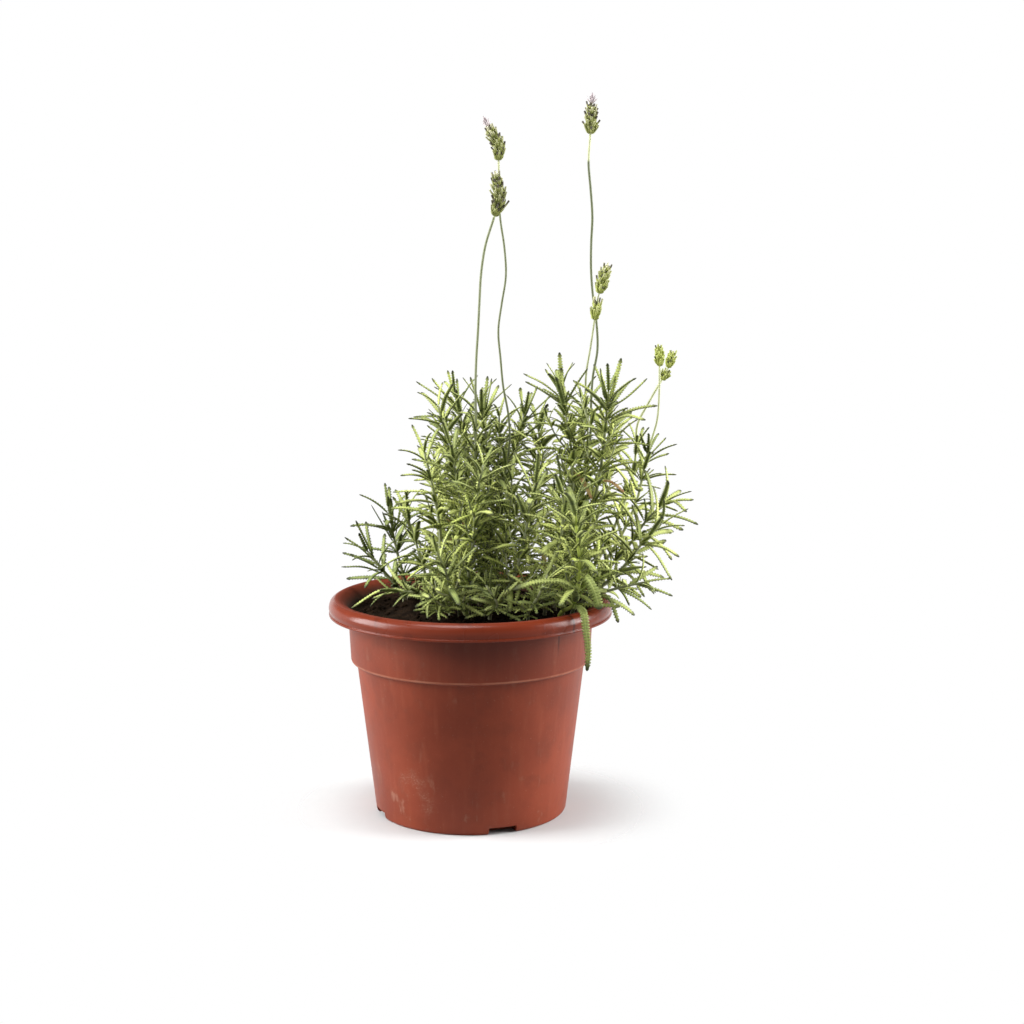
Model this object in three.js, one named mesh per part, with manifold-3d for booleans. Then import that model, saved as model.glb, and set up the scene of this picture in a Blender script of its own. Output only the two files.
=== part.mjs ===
// Potted toothed lavender: a moulded plastic nursery pot filled with soil, in which leafy stems,
// flowering stems and their flower spikes stand, each grown piece a solid of its own.
// Millimetres, +Z up. The origin is the centre of the pot's underside, and -Y faces the viewer.
import * as THREE from "three";
import { mergeVertices } from "three/addons/utils/BufferGeometryUtils.js";
import Module from "manifold-3d";

const wasm = await Module();
wasm.setup();

// Driving dimensions of the pot
const RIM_RADIUS = 100;
const POT_HEIGHT = 153.6;
const BASE_RADIUS = 67.6;
const LEDGE_HEIGHT = 109.2;
const LEDGE_RADIUS = 80.4;
const COLLAR_RADIUS = 85.6;
const WALL = 2.2;
const FLOOR = 2.6;
const POT_SEGMENTS = 36;
const DRAIN_COUNT = 4;
const DRAIN_WIDTH = 21;
const DRAIN_HEIGHT = 5;
const DRAIN_INNER_RADIUS = 57;
const DRAIN_FIRST_ANGLE = -70;

// Driving dimensions of the soil
const GAP = 0.35;
const SOIL_TOP = 142;
const SOIL_MOUND = 3.2;
const SOIL_LUMP = 0.9;
const PLANTING_DEPTH = 17;
const HOLE_ROOM = 0.5;
const FOOT_RISE = 5;

// Driving dimensions of the leaves and stems
const STEM_FOOT_RADIUS = 1.9;
const STEM_TIP_RADIUS = 0.75;
const PEDUNCLE_RADIUS = 0.95;
const STEM_STEP = 19;
const LEAF_LENGTH = 30;
const LEAF_SLIMNESS = 0.155;
const LEAF_KEEL = 1;
const LEAF_ROOT = 0.4;
const HIDDEN_PAIR = 7;
const SHORT_LEAF = 25;
const SHORT_LEAF_TEETH = 2;
const LONG_LEAF_TEETH = 3;
const TOOTH_DEPTH = 0.4;
const LIFT = 0.22;

// Driving dimensions of the flower spikes
const BUDS_ROUND = 6;
const BUD_SHOULDER = 0.078;
const TUFT_GAP = 0.8;

// Clearances between pieces, and the spacing of the points that they are measured at
const LEAF_REACH = 1.35;
const CLEARANCE = 0.4;
const SAMPLE_STEP = 1.9;
const RIM_CLEARANCE = 1.6;

// Faces finer than this are joined with their neighbours, and no edge is shorter than this
const FINEST_FACE = 0.05;
const SHORTEST_EDGE = 0.005;

const UP = new THREE.Vector3(0, 0, 1);
const ACROSS = new THREE.Vector3(0, 1, 0);
const degrees = Math.PI / 180;

// Points on the soil where a stem stands, then its route, tip last. whorls says which pairs of
// leaves it carries, counted down from the tip, and turn is the first pair's direction.
const LEAFY_STEMS = [
  {
    name: "leafy_stem_left_a",
    foot: [-46, 38],
    route: [[-51, 38, 166], [-56, 31, 192], [-59, 24, 213]],
    whorls: [0, 1, 2, 3, 5],
    size: 0.95,
  },
  {
    name: "leafy_stem_left_b",
    foot: [-49, 29],
    route: [[-57, 24, 160], [-65, 17, 171], [-73, 12, 183]],
    whorls: [0, 1, 3],
    size: 0.95,
  },
  {
    name: "leafy_stem_a",
    foot: [-8, 11],
    route: [[-13, 14, 177], [-11, 12, 220], [-16, 8, 260], [-22, 4, 287]],
    whorls: [0, 1, 3, 5, 8, 11],
    size: 1,
  },
  {
    name: "leafy_stem_b",
    foot: [-4, 25],
    route: [[-7, 36, 173], [-3, 38, 223], [-6, 40, 267], [-11, 42, 289]],
    whorls: [0, 1, 3, 6, 10],
    size: 1,
  },
  {
    name: "leafy_stem_c",
    foot: [4, 17],
    route: [[7, 21, 182], [12, 20, 226], [11, 18, 262], [7, 16, 288]],
    whorls: [0, 1, 3, 6, 10],
    size: 1,
  },
  {
    name: "leafy_stem_d",
    foot: [8, 26],
    route: [[11, 33, 180], [17, 37, 224], [20, 35, 253], [20, 30, 277]],
    whorls: [0, 1, 3, 6, 9],
    size: 0.95,
  },
  {
    name: "leafy_stem_e",
    foot: [-14, -3],
    route: [[-20, -7, 173], [-21, -10, 202], [-26, -14, 234], [-31, -18, 257]],
    whorls: [0, 1, 3, 5, 8],
    size: 1.05,
  },
  {
    name: "leafy_stem_f",
    foot: [-21, 4],
    route: [[-29, 1, 161], [-36, 3, 182], [-41, 6, 199], [-45, 8, 210]],
    whorls: [0, 1, 3, 5],
    size: 1,
  },
  {
    name: "leafy_stem_g",
    foot: [-6, -11],
    route: [[-10, -21, 176], [-6, -26, 212], [-9, -28, 243], [-13, -30, 264]],
    whorls: [0, 1, 3, 5, 8, 10],
    size: 1.05,
  },
  {
    name: "leafy_stem_h",
    foot: [0, -19],
    route: [[-1, -33, 171], [3, -40, 200], [5, -46, 228], [10, -50, 253]],
    whorls: [0, 1, 2, 4, 7, 10],
    size: 1,
  },
  {
    name: "leafy_stem_i",
    foot: [-14, -20],
    route: [[-22, -33, 156], [-34, -40, 163], [-45, -44, 166], [-53, -46, 166]],
    whorls: [0, 2, 4],
    size: 0.85,
  },
  {
    name: "leafy_stem_j",
    foot: [-7, -31],
    route: [[-11, -50, 160], [-14, -58, 174], [-16, -62, 186], [-21, -64, 196]],
    whorls: [0, 1, 3],
    size: 0.95,
  },
  {
    name: "leafy_stem_k",
    foot: [52, -5],
    route: [[54, -6, 173], [69, -6, 209], [71, -6, 251], [63, -4, 301]],
    whorls: [0, 1, 2, 4, 6, 9, 12],
    size: 1.1,
  },
  {
    name: "leafy_stem_l",
    foot: [65, -11],
    route: [[71, -14, 175], [83, -16, 210], [91, -18, 252], [95, -20, 299]],
    whorls: [0, 1, 2, 4, 6, 9, 12],
    size: 1.1,
  },
  {
    name: "leafy_stem_m",
    foot: [62, 29],
    route: [[68, 44, 171], [75, 48, 222], [80, 52, 258], [81, 54, 286]],
    whorls: [0, 1, 3, 6, 9],
    size: 1,
  },
  {
    name: "leafy_stem_n",
    foot: [24, 27],
    route: [[34, 37, 172], [45, 40, 209], [49, 42, 245], [48, 44, 271]],
    whorls: [0, 1, 3, 6, 9],
    size: 1,
  },
  {
    name: "leafy_stem_o",
    foot: [10, 38],
    route: [[14, 51, 170], [18, 50, 207], [23, 44, 237], [33, 38, 256], [38, 34, 278]],
    whorls: [0, 1, 5],
    size: 0.95,
  },
  {
    name: "leafy_stem_p",
    foot: [78, -1],
    route: [[95, -1, 171], [111, -4, 190], [124, -8, 210], [135, -12, 222]],
    whorls: [0, 1, 2, 4, 6, 8],
    size: 1.1,
  },
  {
    name: "leafy_stem_q",
    foot: [76, -14],
    route: [[95, -18, 166], [110, -24, 183], [122, -28, 200], [131, -31, 209]],
    whorls: [0, 1, 3, 5, 7],
    size: 1.1,
  },
  {
    name: "leafy_stem_r",
    foot: [71, -24],
    route: [[88, -33, 161], [101, -42, 167], [111, -48, 171], [118, -52, 173]],
    whorls: [0, 1, 3],
    size: 1,
  },
  {
    name: "leafy_stem_front",
    foot: [62, -36],
    route: [[72, -50, 158], [74, -62, 175], [74, -68, 193], [72, -72, 212], [71, -74, 227]],
    whorls: [0, 2, 4],
    size: 1.1,
  },
  {
    name: "leafy_stem_s",
    foot: [20, -21],
    route: [[30, -35, 172], [37, -42, 197], [41, -46, 222], [45, -48, 240]],
    whorls: [0, 1, 3, 5, 7],
    size: 1,
  },
  {
    name: "leafy_stem_t",
    foot: [14, -37],
    route: [[19, -58, 157], [18, -64, 166], [12, -67, 174]],
    whorls: [0, 2],
    size: 0.85,
  },
  {
    name: "leafy_stem_u",
    foot: [52, -24],
    route: [[56, -42, 170], [60, -48, 191], [64, -52, 216], [63, -54, 238]],
    whorls: [0, 2, 4, 6],
    size: 1,
  },
  {
    name: "leafy_stem_v",
    foot: [12, -8],
    route: [[18, -16, 168], [25, -18, 193], [28, -20, 218], [29, -22, 238]],
    whorls: [0, 1, 3, 5, 7],
    size: 1,
  },
  {
    name: "leafy_stem_w",
    foot: [66, 40],
    route: [[82, 56, 172], [93, 62, 205], [100, 65, 236], [102, 67, 262]],
    whorls: [0, 1, 3, 6, 9],
    size: 1,
  },
  {
    name: "leafy_stem_x",
    foot: [-16, 37],
    route: [[-23, 55, 169], [-23, 61, 198], [-25, 65, 220], [-28, 68, 237]],
    whorls: [0, 1, 3, 5],
    size: 1,
  },
  {
    name: "leafy_stem_y",
    foot: [40, -42],
    route: [[43, -60, 158], [48, -67, 169], [53, -71, 182]],
    whorls: [0, 2],
    size: 0.85,
  },
];

// Stems that run on as a bare stalk to a flower spike: bare is the length without leaves, and
// spike gives the spike's length, its bend and how many whorls of buds it has.
const FLOWERING_STEMS = [
  {
    name: "flowering_stem_a",
    foot: [6, 8],
    route: [
      [9, 8, 176], [19, 8, 213], [27, 8, 256], [27, 8, 278], [23, 8, 301], [20, 9, 336],
      [19, 10, 350], [23, 11, 361], [25, 12, 378], [24, 12, 396], [21, 13, 417], [20, 14, 439], [20, 15, 455],
    ],
    bare: 208,
    whorls: [0, 2],
    size: 0.8,
    spike: { tip: [13, 14, 479], width: 12.5, heads: [{ from: 0, to: 1, whorls: 6 }], tuft: true },
  },
  {
    name: "flowering_stem_b",
    foot: [-1, -1],
    route: [
      [-1, 3, 176], [3, 2, 221], [4, 0, 277], [4, 0, 309], [6, -1, 344], [8, -2, 379],
      [11, -4, 398], [17, -6, 417],
    ],
    bare: 150,
    whorls: [0, 2],
    size: 0.8,
    spike: { tip: [18, -8, 447], width: 13, heads: [{ from: 0, to: 1, whorls: 7 }], tuft: false },
  },
  {
    name: "flowering_stem_c",
    foot: [58, 15],
    route: [
      [66, 25, 170], [76, 24, 211], [84, 22, 254], [85, 20, 289], [86, 20, 306], [89, 20, 323],
      [89, 20, 339], [87, 20, 353], [85, 20, 371], [84, 19, 392], [85, 18, 413], [84, 17, 432],
      [82, 16, 453], [83, 15, 473],
    ],
    bare: 232,
    whorls: [0, 2],
    size: 0.8,
    spike: { tip: [84, 14, 494], width: 12.5, heads: [{ from: 0, to: 1, whorls: 6 }], tuft: true },
  },
  {
    name: "flowering_stem_d",
    foot: [60, 3],
    route: [
      [64, 2, 170], [74, 0, 208], [81, 0, 250], [82, 0, 271], [80, 0, 302], [83, 0, 325],
      [86, 0, 346],
    ],
    bare: 96,
    whorls: [0, 2],
    size: 0.8,
    spike: {
      tip: [95, 0, 385], width: 11, tuft: false,
      heads: [{ from: 0, to: 0.38, whorls: 2, share: 0.86 }, { from: 0.47, to: 1, whorls: 5 }],
    },
  },
  {
    name: "flowering_stem_e",
    foot: [72, 9],
    route: [
      [88, 17, 165], [105, 18, 190], [117, 16, 217], [122, 14, 240], [124, 12, 254], [130, 10, 268],
      [131, 9, 283], [132, 8, 296], [133, 8, 305], [132, 8, 314],
    ],
    bare: 62,
    whorls: [0, 1, 3, 5],
    size: 1,
    spike: { tip: [131, 8, 329], width: 9, heads: [{ from: 0, to: 1, whorls: 3 }], tuft: false },
  },
  {
    name: "flowering_stem_f",
    foot: [70, 22],
    route: [
      [86, 38, 164], [101, 39, 191], [113, 35, 224], [118, 31, 248], [117, 29, 259], [118, 26, 271],
      [121, 24, 280], [128, 20, 292], [134, 17, 304],
    ],
    bare: 54,
    whorls: [0, 2, 4],
    size: 0.9,
    spike: {
      tip: [142, 17, 324], width: 9, tuft: false,
      heads: [{ from: 0, to: 0.37, whorls: 1 }, { from: 0.44, to: 1, whorls: 3, share: 0.9 }],
    },
  },
];

// Large leaves of the nearest stem: the height at which each leaves the stem, then its curve.
const LARGE_LEAVES = [
  {
    stem: "leafy_stem_front",
    from: 163,
    curve: [[66, -64, 170], [52, -70, 171], [38, -73, 166], [29, -74, 159]],
    width: 5.6,
    teeth: 6,
  },
  {
    stem: "leafy_stem_front",
    from: 182,
    curve: [[82, -67, 179], [87, -70, 169], [89, -72, 157.5]],
    width: 7.4,
    teeth: 4,
  },
  {
    stem: "leafy_stem_front",
    from: 160,
    curve: [[78, -66, 161], [82.5, -73, 150], [84, -74.5, 130], [84, -74, 110]],
    width: 5.2,
    teeth: 6,
  },
  {
    stem: "leafy_stem_front",
    from: 189,
    curve: [[81, -72, 195], [90, -76, 199]],
    width: 5.2,
    teeth: 3,
  },
];

// A number from 0 to 1 that depends only on its whole-number keys.
function draw(...keys) {
  let h = 2166136261;
  for (const key of keys) {
    h = Math.imul(h ^ key, 16777619) >>> 0;
    h = (h ^ (h >>> 13)) >>> 0;
    h = Math.imul(h, 1540483477) >>> 0;
    h = (h ^ (h >>> 15)) >>> 0;
  }
  return h / 4294967296;
}

const vector = ([x, y, z]) => new THREE.Vector3(x, y, z);
const mix = (a, b, t) => a + (b - a) * t;
// A point moved along a direction
const along = (point, direction, distance) => point.clone().addScaledVector(direction, distance);
// One direction turned by an angle towards another, which is square to it
const turned = (from, towards, angle) =>
  from.clone().multiplyScalar(Math.cos(angle)).addScaledVector(towards, Math.sin(angle));

// Solids and geometry
function solid(geometry) {
  const bare = new THREE.BufferGeometry().setAttribute("position", geometry.getAttribute("position"));
  if (geometry.index) bare.setIndex(geometry.index);
  const merged = mergeVertices(bare, 1e-4);
  return new wasm.Manifold(
    new wasm.Mesh({
      numProp: 3,
      vertProperties: new Float32Array(merged.attributes.position.array),
      triVerts: new Uint32Array(merged.index.array),
    }),
  );
}

function geometryOf(made) {
  const mesh = made.getMesh();
  const geometry = new THREE.BufferGeometry();
  geometry.setAttribute("position", new THREE.BufferAttribute(new Float32Array(mesh.vertProperties), 3));
  geometry.setIndex(new THREE.BufferAttribute(new Uint32Array(mesh.triVerts), 1));
  geometry.computeVertexNormals();
  return geometry;
}

function shortestEdge(made) {
  const { vertProperties: numbers, triVerts } = made.getMesh();
  let shortest = Infinity;
  triVerts.forEach((from, i) => {
    const to = triVerts[i % 3 === 2 ? i - 2 : i + 1];
    const gap = [0, 1, 2].map((axis) => numbers[from * 3 + axis] - numbers[to * 3 + axis]);
    shortest = Math.min(shortest, Math.hypot(...gap));
  });
  return shortest;
}

// A solid joined with another, which is varied a little in size where the two meet in a sliver.
function joined(made, makeOther) {
  let best = null;
  for (const size of [1, 0.96, 1.04, 0.92, 1.08, 0.88]) {
    const union = made.add(makeOther(size)).simplify(FINEST_FACE);
    const shortest = shortestEdge(union);
    if (!best || shortest > best.shortest) best = { union, shortest };
    if (shortest > SHORTEST_EDGE) break;
  }
  return best.union;
}

function fromTriangles(points, triangles) {
  const geometry = new THREE.BufferGeometry();
  const numbers = points.flatMap((point) => point.toArray());
  geometry.setAttribute("position", new THREE.Float32BufferAttribute(numbers, 3));
  geometry.setIndex(triangles);
  return geometry;
}

// A closed solid through rings of equally many points. The first and last ring are capped.
function loft(rings) {
  const count = rings[0].length;
  const points = rings.flat();
  const triangles = [];
  for (let i = 0; i + 1 < rings.length; i++)
    for (let j = 0; j < count; j++) {
      const a = i * count + j;
      const b = i * count + ((j + 1) % count);
      triangles.push(a, b, b + count, a, b + count, a + count);
    }
  const last = (rings.length - 1) * count;
  for (let j = 1; j + 1 < count; j++) triangles.push(0, j + 1, j, last, last + j, last + j + 1);
  return fromTriangles(points, triangles);
}

// A line of points, each with its distance from the foot.
class Route {
  constructor(points) {
    this.points = points;
    this.at = [0];
    for (let i = 1; i < points.length; i++) {
      this.at.push(this.at[i - 1] + points[i].distanceTo(points[i - 1]));
    }
    this.length = this.at[this.at.length - 1];
  }

  // The place and direction at a distance from the foot.
  place(distance) {
    let i = 1;
    while (i < this.at.length - 1 && this.at[i] < distance) i++;
    const t = (distance - this.at[i - 1]) / (this.at[i] - this.at[i - 1]);
    const position = this.points[i - 1].clone().lerp(this.points[i], t);
    const direction = this.points[i].clone().sub(this.points[i - 1]).normalize();
    return { position, direction };
  }

  // The direction at a point of the line, midway between those before and after it.
  directionAt(i) {
    const before = this.points[Math.max(0, i - 1)];
    const after = this.points[Math.min(this.points.length - 1, i + 1)];
    return after.clone().sub(before).normalize();
  }

  atHeight(z) {
    const i = this.points.findIndex((point) => point.z >= z);
    const [low, high] = [this.points[i - 1], this.points[i]];
    return low.clone().lerp(high, (z - low.z) / (high.z - low.z));
  }
}

// A smooth line through a few points.
function smooth(points, steps = 10) {
  const curve = new THREE.CatmullRomCurve3(points, false, "catmullrom", 0.5);
  return new Route(curve.getPoints((points.length - 1) * steps));
}

// The same line with fewer points: one at the end of its straight start, then at equal steps.
function thinned(route, straight, step) {
  const count = Math.max(2, Math.round((route.length - straight) / step));
  const distances = [0];
  for (let i = 0; i <= count; i++) distances.push(mix(straight, route.length, i / count));
  return new Route(distances.map((distance) => route.place(distance).position));
}

// Two directions square to a stem's own direction.
function sides(direction) {
  const first = ACROSS.clone().addScaledVector(direction, -ACROSS.dot(direction)).normalize();
  return [first, direction.clone().cross(first)];
}

// A stem is square in section, as in all plants of the mint family, and thins to its tip.
function stemSolid(route, radiusAt, turn) {
  const ring = (point, i) => polygon(point, route.directionAt(i), radiusAt(route.at[i]), 4, turn + 45);
  return solid(loft(route.points.map(ring)));
}

// The corners of an upright figure of equal sides round a centre, square to a direction.
function polygon(centre, direction, radius, count, turn = 0) {
  const [a, b] = sides(direction);
  return Array.from({ length: count }, (_, k) => {
    const angle = (turn + (k * 360) / count) * degrees;
    return along(centre, turned(a, b, angle), radius);
  });
}

// The points where clearance is measured: place, reach around it, and the piece it belongs to.
const occupied = [];

function isClear(samples, owner, ownFrom) {
  for (let i = 0; i < samples.length; i++)
    for (const other of occupied) {
      const own = other.owner === owner;
      if (own && (other.root || i < ownFrom)) continue;
      const room = own ? 1.7 : samples[i].reach + other.reach + CLEARANCE;
      if (samples[i].position.distanceToSquared(other.position) < room * room) return false;
    }
  return true;
}

// Leaves stay above the soil and clear of the rim, inside and outside.
function isClearOfPot(samples) {
  return samples.every(({ position }) => {
    const r = Math.hypot(position.x, position.y);
    if (r < COLLAR_RADIUS - 8) return position.z > SOIL_TOP + SOIL_MOUND + RIM_CLEARANCE;
    if (r < RIM_RADIUS + RIM_CLEARANCE) return position.z > POT_HEIGHT + RIM_CLEARANCE;
    return position.z > POT_HEIGHT - 35;
  });
}

function occupyStem(route, radiusAt, owner) {
  for (let distance = 0; distance < route.length; distance += SAMPLE_STEP) {
    const { position } = route.place(distance);
    occupied.push({ position, reach: radiusAt(distance), owner, root: true });
  }
}

// The half width of a leaf along its length, before the teeth are cut: narrow foot, blunt tip.
function leafOutline(s) {
  if (s < 0.2) return s / 0.2;
  if (s < 0.6) return 1;
  return mix(1, 0.42, (s - 0.6) / 0.4);
}

// A leaf's spine that leaves the stem along direction and bends back, away from its upper face.
function arcSpine(root, direction, normal, length, bend) {
  return (s) => {
    const angle = bend * s;
    const ahead = along(root, direction, (length * Math.sin(angle)) / bend);
    return {
      position: along(ahead, normal, (-length * (1 - Math.cos(angle))) / bend),
      direction: turned(direction, normal, -angle),
      normal: turned(normal, direction, angle),
    };
  };
}

function curveSpine(points) {
  const route = smooth(points.map(vector));
  return (s) => {
    const { position, direction } = route.place(s * route.length);
    const normal = new THREE.Vector3(0.4 * s, -0.6 * s, 1 - s * 0.6);
    normal.addScaledVector(direction, -normal.dot(direction)).normalize();
    return { position, direction, normal, travelled: s * route.length };
  };
}

// A leaf blade with teeth along both edges: flat above, with a keel below, and a pointed root.
function leafSolid(spine, width, teeth, size) {
  const stations = [];
  for (let i = 0; i < teeth; i++) {
    const tooth = mix(0.2, 0.87, i / (teeth - 1));
    if (i > 0) stations.push([tooth - 0.335 / (teeth - 1), 1 - TOOTH_DEPTH]);
    stations.push([tooth, 1]);
  }
  const points = [spine(0).position, spine(1).position];
  const [root, tip] = [0, 1];
  const left = (i) => 2 + i * 2;
  const right = (i) => 3 + i * 2;
  for (const [s, share] of stations) {
    const { position, direction, normal } = spine(s);
    const side = direction.clone().cross(normal);
    const half = (width / 2) * leafOutline(s) * share * size;
    points.push(along(position, side, -half), along(position, side, half));
  }
  const keel = (i) => 2 + stations.length * 2 + i / 2;
  for (let i = 0; i < stations.length; i += 2) {
    const { position, normal } = spine(stations[i][0]);
    points.push(along(position, normal, -LEAF_KEEL * size * mix(1, 0.75, stations[i][0])));
  }
  const last = stations.length - 1;
  const triangles = [root, right(0), left(0), root, left(0), keel(0), root, keel(0), right(0)];
  for (let i = 0; i < last; i++) {
    triangles.push(left(i), right(i), right(i + 1));
    triangles.push(left(i), right(i + 1), left(i + 1));
  }
  for (let i = 0; i < last; i += 2) {
    triangles.push(left(i), left(i + 1), keel(i));
    triangles.push(keel(i), left(i + 1), keel(i + 2));
    triangles.push(left(i + 1), left(i + 2), keel(i + 2));
    triangles.push(right(i + 1), right(i), keel(i));
    triangles.push(right(i + 1), keel(i), keel(i + 2));
    triangles.push(right(i + 2), right(i + 1), keel(i + 2));
  }
  triangles.push(left(last), right(last), tip, left(last), tip, keel(last), tip, right(last), keel(last));
  return solid(fromTriangles(points, triangles));
}

function leafSamples(spine, length, width, owner) {
  const samples = [];
  const steps = Math.ceil(length / SAMPLE_STEP);
  for (let i = 2; i <= steps; i++) {
    const s = i / steps;
    const { position, direction, normal } = spine(s);
    const side = direction.clone().cross(normal);
    const offset = (width / 2) * leafOutline(s) * 0.62;
    for (const k of s > 0.97 ? [0] : [-1, 0, 1]) {
      samples.push({ position: along(position, side, offset * k), reach: LEAF_REACH, owner, root: s < 0.35 });
    }
  }
  return samples;
}

// How far below a stem's tip a pair of leaves stands, and how far it leans out from the stem.
const whorlDepth = (k) => 1.5 + 5.6 * k + 0.33 * k * k;
const whorlLean = (k) => Math.min(17 + 13 * k, 72) * degrees;
const whorlSize = (k) => (k === 0 ? 0.74 : Math.min(1.06, 0.86 + 0.07 * k));

// Ways to bend a leaf clear of its neighbours: a turn about the stem and a change of lean.
const BENDS = [
  [0, 0], [16, 0], [-16, 0], [0, -14], [30, -6], [-30, -6],
  [0, 14], [44, -12], [-44, -12], [22, 16], [-22, 16],
];

// One leaf of a pair, bent clear of other pieces, or nothing where no bend clears them.
function placeLeaf(stem, k, side) {
  const number = (n) => draw(stem.index, k, side, n);
  const { position, direction } = stem.route.place(stem.leafyTo - whorlDepth(k));
  const [a, b] = sides(direction);
  const length = LEAF_LENGTH * stem.size * whorlSize(k) * mix(0.86, 1.14, number(1));
  const width = length * LEAF_SLIMNESS * mix(0.9, 1.1, number(2));
  for (const shrink of [1, 0.78])
    for (const [turn, lean] of BENDS) {
      const angle = (stem.turn + k * 90 + side * 180 + mix(-14, 14, number(3)) + turn) * degrees;
      const tilt = whorlLean(k) + (mix(-9, 9, number(4)) + lean) * degrees;
      const outward = turned(a, b, angle);
      const heading = turned(direction, outward, tilt);
      heading.addScaledVector(UP, LIFT * Math.sin(tilt)).normalize();
      const normal = direction.clone().addScaledVector(UP, 0.3);
      normal.addScaledVector(heading, -normal.dot(heading)).normalize();
      const bend = mix(12, 52, number(5)) * degrees;
      const root = along(position, outward, -LEAF_ROOT * stem.radiusAt(stem.leafyTo - whorlDepth(k)));
      const spine = arcSpine(root, heading, normal, length * shrink, bend);
      const samples = leafSamples(spine, length * shrink, width * mix(1, shrink, 0.5), stem.name);
      const ownFrom = Math.round(samples.length * 0.4);
      if (!isClearOfPot(samples) || !isClear(samples, stem.name, ownFrom)) continue;
      occupied.push(...samples);
      const teeth = length * shrink < SHORT_LEAF || k >= HIDDEN_PAIR ? SHORT_LEAF_TEETH : LONG_LEAF_TEETH;
      return (varied) => leafSolid(spine, width * mix(1, shrink, 0.5), teeth, varied);
    }
  return null;
}

// A head of buds: a core whose surface rises into whorls of pointed buds, like a slim cone.
// Each bud stands on four corners of the core and has two shoulders and a tip.
function headSolid(line, from, to, width, whorls, seed) {
  const step = (to - from) / (whorls + 1);
  const distanceAt = (level) => from + step * (level + 1);
  const swell = (level) => Math.sqrt(1 - (((level + 1) / (whorls + 1) - 0.36) / 0.8) ** 2);
  const around = (level, angle, radius, aside = 0) => {
    const { position, direction } = line.place(Math.min(distanceAt(level), line.length));
    const [a, b] = sides(direction);
    const [c, d] = [Math.cos(angle * degrees), Math.sin(angle * degrees)];
    const past = Math.max(0, distanceAt(level) - line.length);
    return position
      .addScaledVector(a, radius * c - aside * d)
      .addScaledVector(b, radius * d + aside * c)
      .addScaledVector(direction, past);
  };
  const points = [];
  const core = (level, k) => (level + 1) * BUDS_ROUND + ((k + BUDS_ROUND) % BUDS_ROUND);
  for (let level = -1; level <= whorls; level++)
    for (let k = 0; k < BUDS_ROUND; k++) {
      const ends = level === -1 ? PEDUNCLE_RADIUS * 1.3 : width * 0.09;
      const radius = level === -1 || level === whorls ? ends : width * 0.19 * swell(level);
      points.push(around(level, (k * 360) / BUDS_ROUND + (level + 1) * (180 / BUDS_ROUND), radius));
    }
  const triangles = [];
  for (let level = 0; level < whorls; level++)
    for (let k = 0; k < BUDS_ROUND; k++) {
      const number = (n) => draw(seed, level, k, n);
      const angle = (k * 360) / BUDS_ROUND + level * (180 / BUDS_ROUND) + mix(-5, 5, number(11));
      const reach = (width / 2) * swell(level) * mix(0.9, 1.06, number(12));
      const high = level + mix(-0.1, 0.12, number(13));
      const i = points.length;
      for (const aside of [-BUD_SHOULDER, BUD_SHOULDER]) {
        points.push(around(high + 0.35, angle, reach * 0.74, width * aside));
      }
      points.push(around(high + 1.25, angle, reach));
      const [bottom, top] = [core(level - 1, k), core(level + 1, k - 1)];
      const [right, left] = [core(level, k), core(level, k - 1)];
      triangles.push(bottom, i + 1, i, i, i + 1, i + 2, bottom, right, i + 1, right, top, i + 1);
      triangles.push(i + 1, top, i + 2, i + 2, top, i, i, top, left, left, bottom, i);
    }
  const crown = points.length;
  points.push(around(whorls + 0.1, 0, 0));
  for (let k = 0; k < BUDS_ROUND; k++) {
    triangles.push(core(-1, k), core(-1, k + 1), core(0, k));
    triangles.push(core(whorls - 1, k), core(whorls, k), core(whorls, k - 1));
    triangles.push(core(whorls, k), core(whorls, k + 1), crown);
    if (k > 1) triangles.push(core(-1, 0), core(-1, k), core(-1, k - 1));
  }
  return solid(fromTriangles(points, triangles));
}

// A spike is one head, or two with a bare length of stalk between them.
function addSpike(stem) {
  const { tip, width, heads, tuft } = stem.spike;
  const foot = stem.route.place(stem.route.length);
  const start = along(foot.position, foot.direction, GAP);
  const end = vector(tip);
  const middle = along(start, foot.direction, end.distanceTo(start) * 0.4);
  const line = smooth([start, middle, end]);
  const solids = heads.map(({ from, to, whorls, share = 1 }, i) =>
    headSolid(line, from * line.length, to * line.length, width * share, whorls, stem.index * 10 + i),
  );
  for (let i = 1; i < heads.length; i++) {
    const between = [heads[i - 1].to - 0.02, heads[i].from + 0.02].map((s) => {
      const { position, direction } = line.place(s * line.length);
      return polygon(position, direction, PEDUNCLE_RADIUS, 4, stem.turn + 45);
    });
    solids.push(solid(loft(between)));
  }
  for (let distance = 0; distance < line.length; distance += 3) {
    const { position } = line.place(distance);
    occupied.push({ position, reach: width / 2 + 0.5, owner: stem.name, root: true });
  }
  addPiece(stem.name.replace("stem", "spike"), solids.reduce((a, b) => a.add(b)), looks.spike);
  if (tuft) addPiece(stem.name.replace("stem", "tuft"), tuftSolid(line, stem), looks.tuft);
}

// A closed floret: three-sided, widest past its middle.
function floretSolid(root, heading, length, width, turn) {
  const at = (share) => along(root, heading, length * share);
  return solid(
    loft([
      polygon(at(0), heading, width * 0.32, 3, turn),
      polygon(at(0.66), heading, width * 0.58, 3, turn),
      polygon(at(1), heading, width * 0.22, 3, turn),
    ]),
  );
}

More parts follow.
